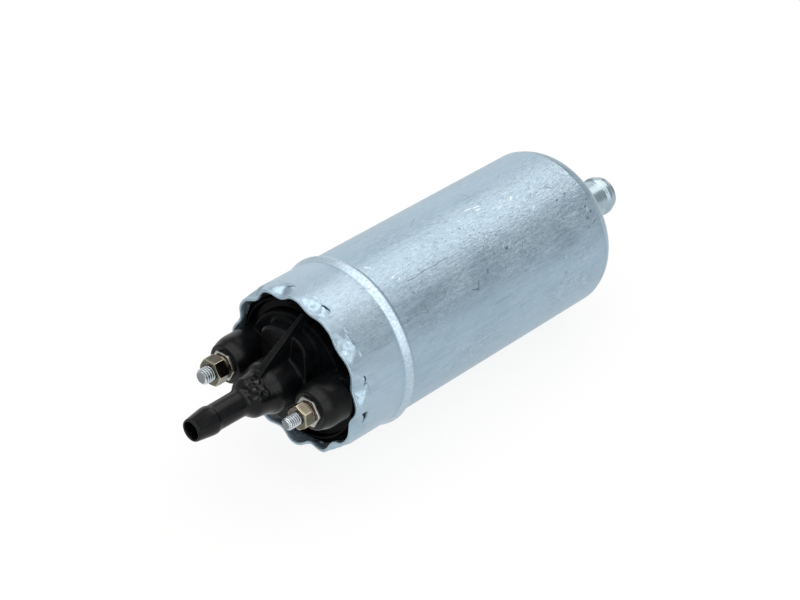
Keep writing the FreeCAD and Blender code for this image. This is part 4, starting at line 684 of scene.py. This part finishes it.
def cap_sdf(x, y, z):
    """Signed distance, near enough, to the moulded cap. Millimetres."""
    r = np.sqrt(y * y + z * z)

    def disc(radius, x0, x1, k):
        return smax(r - radius, smax(x - x1, x0 - x, 0.05), k)

    body = smax(r - 24.65, smax(x - 62.2, 46.55 - x, 0.3), 0.5)
    chamfer = (x - 61.9) * 0.64 + (r - 24.65) * 0.77
    body = smax(body, chamfer, 0.3)
    lip = smax(smax(r - 22.6, 21.6 - r, 0.4), smax(x - 64.15, 55.0 - x, 0.3), 0.6)
    lip = smax(lip, chamfer, 0.3)
    d = smin(body, lip, 0.5)
    d = smin(d, disc(18.75, 50.0, 65.15, 0.7), 0.9)
    ped = smax(smax(r - 16.0, np.abs(y) - 9.2, 2.8), x - 69.95, 0.8)
    ped = smax(ped, 50.0 - x, 0.1)
    d = smin(d, ped, 1.3)
    rb = np.interp(x, BARB[:, 0], BARB[:, 1])
    slope = (np.interp(x + 0.15, BARB[:, 0], BARB[:, 1]) - np.interp(x - 0.15, BARB[:, 0], BARB[:, 1])) / 0.3
    hub = (r - rb) / np.sqrt(1 + np.minimum(slope * slope, 9.0))
    hub = smax(hub, smax(x - 106.1, 55.0 - x, 0.1), 0.3)
    d = smin(d, hub, 1.1)
    for sgn in (1.0, -1.0):
        yy = y - sgn * 17.5
        rr = np.sqrt(yy * yy + z * z)
        boss = smax(rr - 7.33, (x - 73.4) * 0.328 + (rr - 7.33) * 0.945, 0.5)
        boss = smax(boss, x - 76.96, 0.45)
        boss = smax(boss, 50.0 - x, 0.1)
        # cut back beside the staked rim
        boss = smax(boss, smin(smax(chamfer, r - 22.75, 0.2), 66.95 - x, 0.35), 0.3)
        d = smin(d, boss, 0.9)
    u = y * CR + z * SR
    v = -y * SR + z * CR
    wide = 1.3 - 0.75 * np.clip((u - 6.3) / 15.9, 0, 1)
    slope_top = ((x - 66.0) * 14.5 + (u - 22.2) * 16.0) / 21.6
    rib = smax(np.abs(v) - wide, slope_top, 0.35)
    rib = smax(rib, smax(u - 22.2, x - 81.9, 0.3), 0.3)
    rib = smax(rib, smax(3.0 - u, 52.0 - x, 0.1), 0.1)
    d = smin(d, rib, 0.9)
    d = d - 0.36 * lumps(x, y, z)
    # hollows: bore, valve chamber, skirt, stud holes
    bore = 2.75 + 0.30 * np.clip((x - 105.3) / 0.8, 0, 1) ** 1.5
    d = smax(d, smin(bore - r, x - 79.5, 0.1), 0.15)
    d = smax(d, -smax(r - 5.2, smax(x - 79.5, 40.0 - x, 0.1), 0.1), 0.1)
    d = smax(d, -smax(r - 21.6, x - 60.0, 0.2), 0.2)
    groove = smax(smax(22.75 - r, x - 56.25, 0.05), 53.75 - x, 0.05)
    d = smax(d, -groove, 0.05)
    for sgn, hole in ((1.0, 1.78), (-1.0, 2.23)):
        yy = y - sgn * 17.5
        d = smax(d, hole - np.sqrt(yy * yy + z * z), 0.05)
    return d


def surface_net(sdf, lo, hi, h):
    """A closed mesh of sdf = 0 on a grid of pitch h: points and quads."""
    n = [int(round((hi[i] - lo[i]) / h)) + 1 for i in range(3)]
    ax = [lo[i] + h * np.arange(n[i]) for i in range(3)]
    val = np.empty(n, np.float32)
    for i in range(0, n[0], 24):
        X, Y, Z = np.meshgrid(ax[0][i:i + 24], ax[1], ax[2], indexing="ij")
        val[i:i + 24] = sdf(X, Y, Z)
    neg = val < 0
    cells = [n[0] - 1, n[1] - 1, n[2] - 1]
    acc = np.zeros(cells + [3], np.float32)
    cnt = np.zeros(cells, np.int8)
    for axis in range(3):
        a = [slice(None)] * 3
        b = [slice(None)] * 3
        a[axis], b[axis] = slice(0, -1), slice(1, None)
        va, vb = val[tuple(a)], val[tuple(b)]
        cross = neg[tuple(a)] != neg[tuple(b)]
        with np.errstate(divide="ignore", invalid="ignore"):
            t = np.where(cross, va / (va - vb), 0).astype(np.float32)
        others = [i for i in range(3) if i != axis]
        for du in (0, 1):
            for dv in (0, 1):
                sl = [slice(None)] * 3
                sl[others[0]] = slice(du, du + cells[others[0]])
                sl[others[1]] = slice(dv, dv + cells[others[1]])
                c = cross[tuple(sl)]
                tt = t[tuple(sl)]
                cnt += c
                acc[..., axis] += tt * c
                acc[..., others[0]] += du * c
                acc[..., others[1]] += dv * c
    active = cnt > 0
    ids = np.full(cells, -1, np.int64)
    ids[active] = np.arange(active.sum())
    where = np.argwhere(active)
    pts = (where + acc[active] / cnt[active][:, None]) * h + np.array(lo)
    quads = []
    for axis in range(3):
        o1, o2 = [i for i in range(3) if i != axis]
        a = [slice(None)] * 3
        b = [slice(None)] * 3
        a[axis], b[axis] = slice(0, -1), slice(1, None)
        na, nb = neg[tuple(a)], neg[tuple(b)]
        cross = na != nb
        idx = np.argwhere(cross)
        ok = (idx[:, o1] > 0) & (idx[:, o1] < n[o1] - 1) & (idx[:, o2] > 0) & (idx[:, o2] < n[o2] - 1)
        idx = idx[ok]
        inside = na[tuple(idx.T)]
        corner = []
        for du, dv in ((0, 0), (1, 0), (1, 1), (0, 1)):
            c = idx.copy()
            c[:, o1] -= 1 - du
            c[:, o2] -= 1 - dv
            corner.append(ids[tuple(c.T)])
        q = np.stack(corner, -1)
        flip = inside if axis != 1 else ~inside
        q[~flip] = q[~flip][:, ::-1]
        quads.append(q)
    return pts, np.concatenate(quads)


def settle(sdf, pts, rounds=3, eps=0.02, limit=0.12):
    """Moves points onto the surface along the slope of sdf."""
    p = pts.astype(float).copy()
    for _ in range(rounds):
        x, y, z = p.T
        d = sdf(x, y, z)
        g = np.stack([
            sdf(x + eps, y, z) - sdf(x - eps, y, z),
            sdf(x, y + eps, z) - sdf(x, y - eps, z),
            sdf(x, y, z + eps) - sdf(x, y, z - eps),
        ], -1) / (2 * eps)
        m = np.maximum((g * g).sum(1), 0.25)
        step = np.clip(d / m, -limit, limit)[:, None] * g
        p -= step
    return p


pitch = 0.30
pts, quads = surface_net(cap_sdf, (45.5, -25.8, -25.8), (107.2, 25.8, 25.8), pitch)
pts = settle(cap_sdf, pts)
pts[:, 0] = np.clip(pts[:, 0], 46.5, 106.1)
# where the nose lumps get painted glints on their tops
rub_and_glint = smooth01((lumps(pts[:, 0], pts[:, 1], pts[:, 2]) - 0.35) / 0.6) * smooth01((np.hypot(pts[:, 1], pts[:, 2]) - 3.5) / 0.4)
make("cap_moulding", pts, [quads], MATS["cap"], nodes=["outlet_cap"], slot="black_plastic", sharp=60, attrs={"rub_and_glint": rub_and_glint})


# ---------------------------------------------------------------- terminals
def stud(name, y0, crest, pitch_mm, x0, x1, node):
    """A threaded stud: a helical 60 degree thread, rolled crests and a chamfered end."""
    seg = 64
    rows_per = 14
    th = np.arange(seg) * TAU / seg
    depth = 0.61 * pitch_mm
    xs = np.arange(x0, x1 - 0.30 + 1e-9, pitch_mm / rows_per)
    rows = [np.stack([np.full(seg, x0), y0 + 1e-3 * np.cos(th), 1e-3 * np.sin(th)], -1)]
    # painted shade: the thread roots and the end face are marked to be coloured darker
    root_and_end_shade = [np.zeros(seg), np.ones(seg)]
    r_first = crest - depth
    rows.append(np.stack([np.full(seg, x0), y0 + r_first * np.cos(th), r_first * np.sin(th)], -1))
    for x in xs:
        ph = ((x - x0) / pitch_mm - th / TAU) % 1.0
        tri = np.abs(ph - 0.5) * 2
        prof = np.clip((tri - 0.14) / 0.74, 0, 1)
        prof = prof * prof * (3 - 2 * prof) * 0.5 + prof * 0.5
        r = crest - depth * prof
        fade = np.clip((x1 - x) / 0.75, 0, 1)
        r = np.minimum(r, crest - depth * 1.05 + (depth * 1.05) * fade)
        rows.append(np.stack([np.full(seg, x), y0 + r * np.cos(th), r * np.sin(th)], -1))
        root_and_end_shade.append(smooth01((prof - 0.35) / 0.55) * fade)
    re = crest - depth * 1.05
    for dx, k in ((0.18, 0.985), (0.08, 0.95), (0.02, 0.90), (0.0, 0.80), (0.02, 0.45), (0.05, 0.15)):
        rows.append(np.stack([np.full(seg, x1 - dx), y0 + re * k * np.cos(th), re * k * np.sin(th)], -1))
        root_and_end_shade.append(np.full(seg, 1.0 if dx < 0.06 else 0.25))
    v = np.array(rows)
    nr = len(rows)
    tip = len(v.reshape(-1, 3))
    allv = np.concatenate([v.reshape(-1, 3), [[x1 - 0.06, y0, 0.0]], [[x0, y0, 0.0]]])
    last = (nr - 1) * seg
    k = np.arange(seg)
    t1 = np.stack([last + k, np.full(seg, tip), last + (k + 1) % seg], -1)
    t2 = np.stack([k, (k + 1) % seg, np.full(seg, tip + 1)], -1)
    return make(name, allv, [grid_faces(nr, seg, False, True, flip=True), np.concatenate([t1[:, ::-1], t2[:, ::-1]])], MATS["stud"],
                nodes=[node], slot="bright_steel", sharp=50, attrs={"groove": np.concatenate(root_and_end_shade + [[1.0, 0.0]])})


stud("stud_left", -17.5, 2.45, 0.8, 60.0, 86.3, "terminal_stud_large")
stud("stud_right", 17.5, 1.97, 0.7, 60.0, 86.3, "terminal_stud_small")


def nut(name, y0, flats, first, x0, x1, bore, node, mat, slot):
    """A hexagon nut with both faces turned to a 30 degree cone and a countersunk bore."""
    per = 20
    seg = 6 * per
    a = np.arange(seg) * 360.0 / seg
    local = (a % 60.0) - 30.0
    hexr = 0.5 * flats / np.cos(np.radians(local))
    corner = 0.06 * flats * np.exp(-((np.abs(np.abs(local) - 30.0)) / 1.6) ** 2) * 0.12
    hexr = hexr - corner
    th = np.radians(a + first)
    face_r = 0.5 * flats * 0.955
    tan30 = math.tan(math.radians(30))
    rows = []
    worn_and_edge_highlight = []
    crest = np.exp(-((np.abs(np.abs(local) - 30.0)) / 1.5) ** 2)

    def ring(x, r, rub_and_glint=0.0):
        r = np.broadcast_to(r, th.shape)
        x = np.broadcast_to(x, th.shape)
        rows.append(np.stack([x, y0 + r * np.cos(th), r * np.sin(th)], -1))
        worn_and_edge_highlight.append(np.broadcast_to(rub_and_glint, th.shape))

    ring(x0 + 0.35, bore)
    ring(x0 + 0.02, bore + 0.35)
    ring(x0, bore + 0.40)
    ring(x0, face_r * 0.93)
    ring(x0, face_r)
    drop = np.clip((hexr - face_r) * tan30, 0.02, None)
    back = np.clip((hexr - 0.5 * flats * 1.04) * tan30, 0.02, None)
    for w in (0.35, 0.7, 1.0):
        ring(x0 + back * w, face_r + (hexr - face_r) * w)
    # the hex corners and the front edge carry the lighter colour: wear and painted edge highlight
    ring(x0 + back + 0.10, hexr, 0.6 * crest)
    mid = np.linspace(0, 1, 5)[1:-1]
    for w in mid:
        ring((x0 + back + 0.10) * (1 - w) + (x1 - drop - 0.10) * w, hexr, 0.85 * crest)
    ring(x1 - drop - 0.10, hexr, np.maximum(crest, 0.25))
    for w in (1.0, 0.7, 0.35):
        ring(x1 - drop * w, face_r + (hexr - face_r) * w, 0.9 if w == 1.0 else 0.15)
    ring(x1, face_r)
    ring(x1, face_r * 0.93)
    ring(x1, bore + 0.40)
    ring(x1 - 0.02, bore + 0.35)
    ring(x1 - 0.35, bore)
    v = np.array(rows)
    return make(name, v, [grid_faces(len(rows), seg, True, True, flip=False)], mat, nodes=[node], slot=slot, sharp=24, attrs={"worn_and_edge_highlight": np.concatenate(worn_and_edge_highlight)})


nut("nut_left", -17.5, 7.9, 0.0, 79.0, 83.0, 2.24, "terminal_nut_large", MATS["nut"], "yellow_passivated_steel")
nut("nut_right", 17.5, 6.9, 36.0, 78.8, 82.0, 1.79, "terminal_nut_small", MATS["nut"], "yellow_passivated_steel")


def plate(name, y0, flats, x0, x1, bore, node):
    per = 16
    seg = 6 * per
    a = np.arange(seg) * 360.0 / seg
    local = (a % 60.0) - 30.0
    r = 0.5 * flats / np.cos(np.radians(local)) - 0.10 * np.exp(-((np.abs(np.abs(local) - 30.0)) / 3.0) ** 2)
    th = np.radians(a)
    rows = []

    def ring(x, rr):
        rr = np.broadcast_to(rr, th.shape)
        rows.append(np.stack([np.full(seg, x), y0 + rr * np.cos(th), rr * np.sin(th)], -1))

    ring(x0, bore)
    ring(x0, r - 0.10)
    ring(x0 + 0.10, r)
    ring(x1 - 0.14, r)
    ring(x1 - 0.04, r - 0.05)
    ring(x1, r - 0.16)
    ring(x1, r - 0.7)
    ring(x1, bore + 0.12)
    ring(x1 - 0.10, bore)
    v = np.array(rows)
    return make(name, v, [grid_faces(len(rows), seg, True, True)], MATS["plate"], nodes=[node], slot="bright_steel", sharp=30)


plate("plate_left", -17.5, 8.4, 77.0, 77.9, 2.65, "terminal_plate_large")
plate("plate_right", 17.5, 8.4, 77.0, 77.9, 2.17, "terminal_plate_small")


def spring_washer(name, y0, r_in, r_out, x0, x1, gap_at, node):
    """A split washer: a square section wound once, its ends cut on the slant."""
    seg = 96
    gap = 14.0
    a = np.radians(gap_at + gap / 2 + (360 - gap) * np.linspace(0, 1, seg))
    t = np.linspace(-1, 1, seg)
    thick = (x1 - x0) * 0.80
    rise = (x1 - x0) * 0.10 * t
    c = 0.12
    sec = [(0, r_in + c), (0, r_out - c), (c, r_out), (thick - c, r_out), (thick, r_out - c), (thick, r_in + c), (thick - c, r_in), (c, r_in)]
    rows = []
    for k in range(seg):
        row = []
        for sx, sr in sec:
            skew = (sx / thick - 0.5) * math.radians(9.0)
            ang = a[k] + (skew if abs(t[k]) > 0.93 else 0.0)
            row.append((x0 + (x1 - x0) * 0.10 + rise[k] + sx, y0 + sr * math.cos(ang), sr * math.sin(ang)))
        rows.append(row)
    v = np.array(rows)
    m = len(sec)
    nv = seg * m
    quads = grid_faces(seg, m, False, True, flip=True)
    allv = v.reshape(-1, 3)
    c0, c1 = allv[:m].mean(0), allv[-m:].mean(0)
    allv = np.concatenate([allv, [c0, c1]])
    k = np.arange(m)
    t0 = np.stack([k, (k + 1) % m, np.full(m, nv)], -1)
    t1 = np.stack([nv - m + k, np.full(m, nv + 1), nv - m + (k + 1) % m], -1)
    return make(name, allv, [quads, np.concatenate([t0, t1])], MATS["washer"], nodes=[node], slot="yellow_passivated_steel", sharp=30)


spring_washer("lock_washer_left", -17.5, 2.66, 3.88, 77.9, 79.0, 200.0, "spring_washer_large")
spring_washer("lock_washer_right", 17.5, 2.18, 3.40, 77.9, 78.8, 215.0, "spring_washer_small")

# ---------------------------------------------------------------- inner pieces keep their solids, with finishes by slot
INNER = {
    "seal_rubber": plastic_material("rubber_inner", (0.008, 0.008, 0.008), (0.02, 0.02, 0.02), 0.3, (0.5, 0.7)),
    "bright_steel": MATS["plate"],
    "yellow_passivated_steel": MATS["nut"],
    "satin_aluminium": MATS["can"],
    "black_plastic": MATS["cap"],
    "ground_steel": steel_material("ground_inner", (0.66, 0.66, 0.67), (0.50, 0.50, 0.51), (0.14, 0.26)),
    "sintered_steel": steel_material("sintered_inner", (0.34, 0.34, 0.35), (0.22, 0.22, 0.23), (0.45, 0.6), 3500),
    "plate_aluminium": steel_material("machined_inner", (0.76, 0.77, 0.78), (0.62, 0.63, 0.64), (0.2, 0.34)),
    "yoke_steel": steel_material("yoke_inner", (0.50, 0.51, 0.52), (0.34, 0.35, 0.36), (0.28, 0.44)),
    "ferrite": plastic_material("ferrite_inner", (0.03, 0.03, 0.033), (0.07, 0.07, 0.075), 0.4, (0.45, 0.6)),
    "copper": steel_material("copper_inner", (0.78, 0.38, 0.22), (0.55, 0.24, 0.13), (0.2, 0.36)),
    "bronze": steel_material("bronze_inner", (0.60, 0.42, 0.22), (0.42, 0.28, 0.14), (0.35, 0.5)),
    "brass": steel_material("brass_inner", (0.78, 0.62, 0.30), (0.58, 0.44, 0.20), (0.18, 0.32)),
    "spring_steel": steel_material("spring_inner", (0.66, 0.66, 0.68), (0.46, 0.46, 0.48), (0.18, 0.3)),
    "carbon": plastic_material("carbon_inner", (0.02, 0.02, 0.02), (0.05, 0.05, 0.052), 0.4, (0.35, 0.5)),
    "pale_plastic": plastic_material("acetal_inner", (0.62, 0.60, 0.53), (0.74, 0.72, 0.65), 0.5, (0.3, 0.45)),
    "film_case": plastic_material("film_inner", (0.32, 0.06, 0.03), (0.45, 0.10, 0.05), 0.5, (0.25, 0.4)),
}
slots = {s["node"]: s["material_slot"] for s in frame["record"]["subparts"]}

# the springs, which would shorten with the piece they push, are only copied in spring steel here: node, name, joint,
# axis, which end stays, travel in metres
SPRINGS = [
    ("check_valve_spring", "check_spring_coil", "check_valve_slide", 0, 1, 0.0020),
    ("relief_valve_spring", "relief_spring_coil", "relief_valve_slide", 0, 0, 0.0012),
    ("brush_spring_right", "brush_right_coil", "brush_right_slide", 1, 1, 0.0030),
    ("brush_spring_left", "brush_left_coil", "brush_left_slide", 1, 0, 0.0030),
]
for node, name, joint, k, fixed, travel in SPRINGS:
    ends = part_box(node)
    ob = bpy.data.objects.new(name, frame["nodes"][node].data.copy())
    ob.data.materials.clear()
    ob.data.materials.append(INNER["spring_steel"])
    scene.collection.objects.link(ob)
    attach(ob, "pump_body")
    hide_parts(node)
    anchor = (ends[0] + ends[1]) / 2
    anchor[k] = ends[fixed][k]
    along = Vector((0, 0, 0))
    along[k] = 1.0
    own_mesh(ob)

for node, ob in frame["nodes"].items():
    if ob.hide_render:
        continue
    ob.data.materials.clear()
    ob.data.materials.append(INNER[slots[node]])

# ---------------------------------------------------------------- floor, light, camera
def plain(name, emit, colour):
    m = Mat(name)
    m.set(Base_Color=colour, Roughness=0.9, Emission_Color=(1.0, 1.0, 1.0), Emission_Strength=emit)
    return m.mat


fm = bpy.data.meshes.new("floor")
fm.from_pydata([(-3, -3, 0), (3, -3, 0), (3, 3, 0), (-3, 3, 0)], [], [(0, 1, 2, 3)])
fm.materials.append(plain("pale_floor", 0.885, (0.07, 0.07, 0.07)))
floor = bpy.data.objects.new("floor", fm)
floor.location = (0, 0, -0.0275)
scene.collection.objects.link(floor)

world = bpy.data.worlds.new("studio")
world.use_nodes = True
bg = world.node_tree.nodes["Background"]
bg.inputs[0].default_value = (1.0, 1.0, 1.0, 1.0)
bg.inputs[1].default_value = 0.55
scene.world = world


def area(name, loc, target, size, power, colour=(1, 1, 1)):
    li = bpy.data.lights.new(name, "AREA")
    li.shape = "RECTANGLE"
    li.size, li.size_y = size
    li.energy = power
    li.color = colour
    ob = bpy.data.objects.new(name, li)
    ob.location = loc
    ob.rotation_mode = "QUATERNION"
    ob.rotation_quaternion = (Vector(target) - Vector(loc)).to_track_quat("-Z", "Y")
    scene.collection.objects.link(ob)
    return ob


area("key_top", (-0.75, -0.10, 1.00), (0, 0, 0), (1.0, 0.75), 4.7, (1.0, 0.92, 0.86))
area("side_soft", (-0.75, -1.05, 0.42), (0, 0, 0), (1.0, 0.8), 1.9)
area("over_soft", (0.30, 0.0, 1.08), (0, 0, 0), (1.9, 0.62), 9.8, (1.0, 0.99, 0.97))
area("right_soft", (0.28, 1.02, 0.42), (0, 0, 0), (0.6, 0.9), 3.6)

cam = bpy.data.cameras.new("camera")
cam.sensor_width = 36.0
cam.lens = 2300.0 / 800.0 * 36.0
cam.clip_start, cam.clip_end = 0.02, 20
cam.dof.use_dof = False
co = bpy.data.objects.new("camera", cam)
right = Vector((-0.687353, 0.726136, -0.016478))
up = Vector((-0.394475, -0.354165, 0.847913))
back = Vector((0.609864, 0.589316, 0.529879))
co.matrix_world = Matrix((
    (right.x, up.x, back.x, 0.44136604),
    (right.y, up.y, back.y, 0.405914375),
    (right.z, up.z, back.z, 0.36855463),
    (0, 0, 0, 1),
))
scene.collection.objects.link(co)
scene.camera = co

scene.view_settings.view_transform = "Standard"
scene.view_settings.look = "None"
scene.view_settings.exposure = 0.0
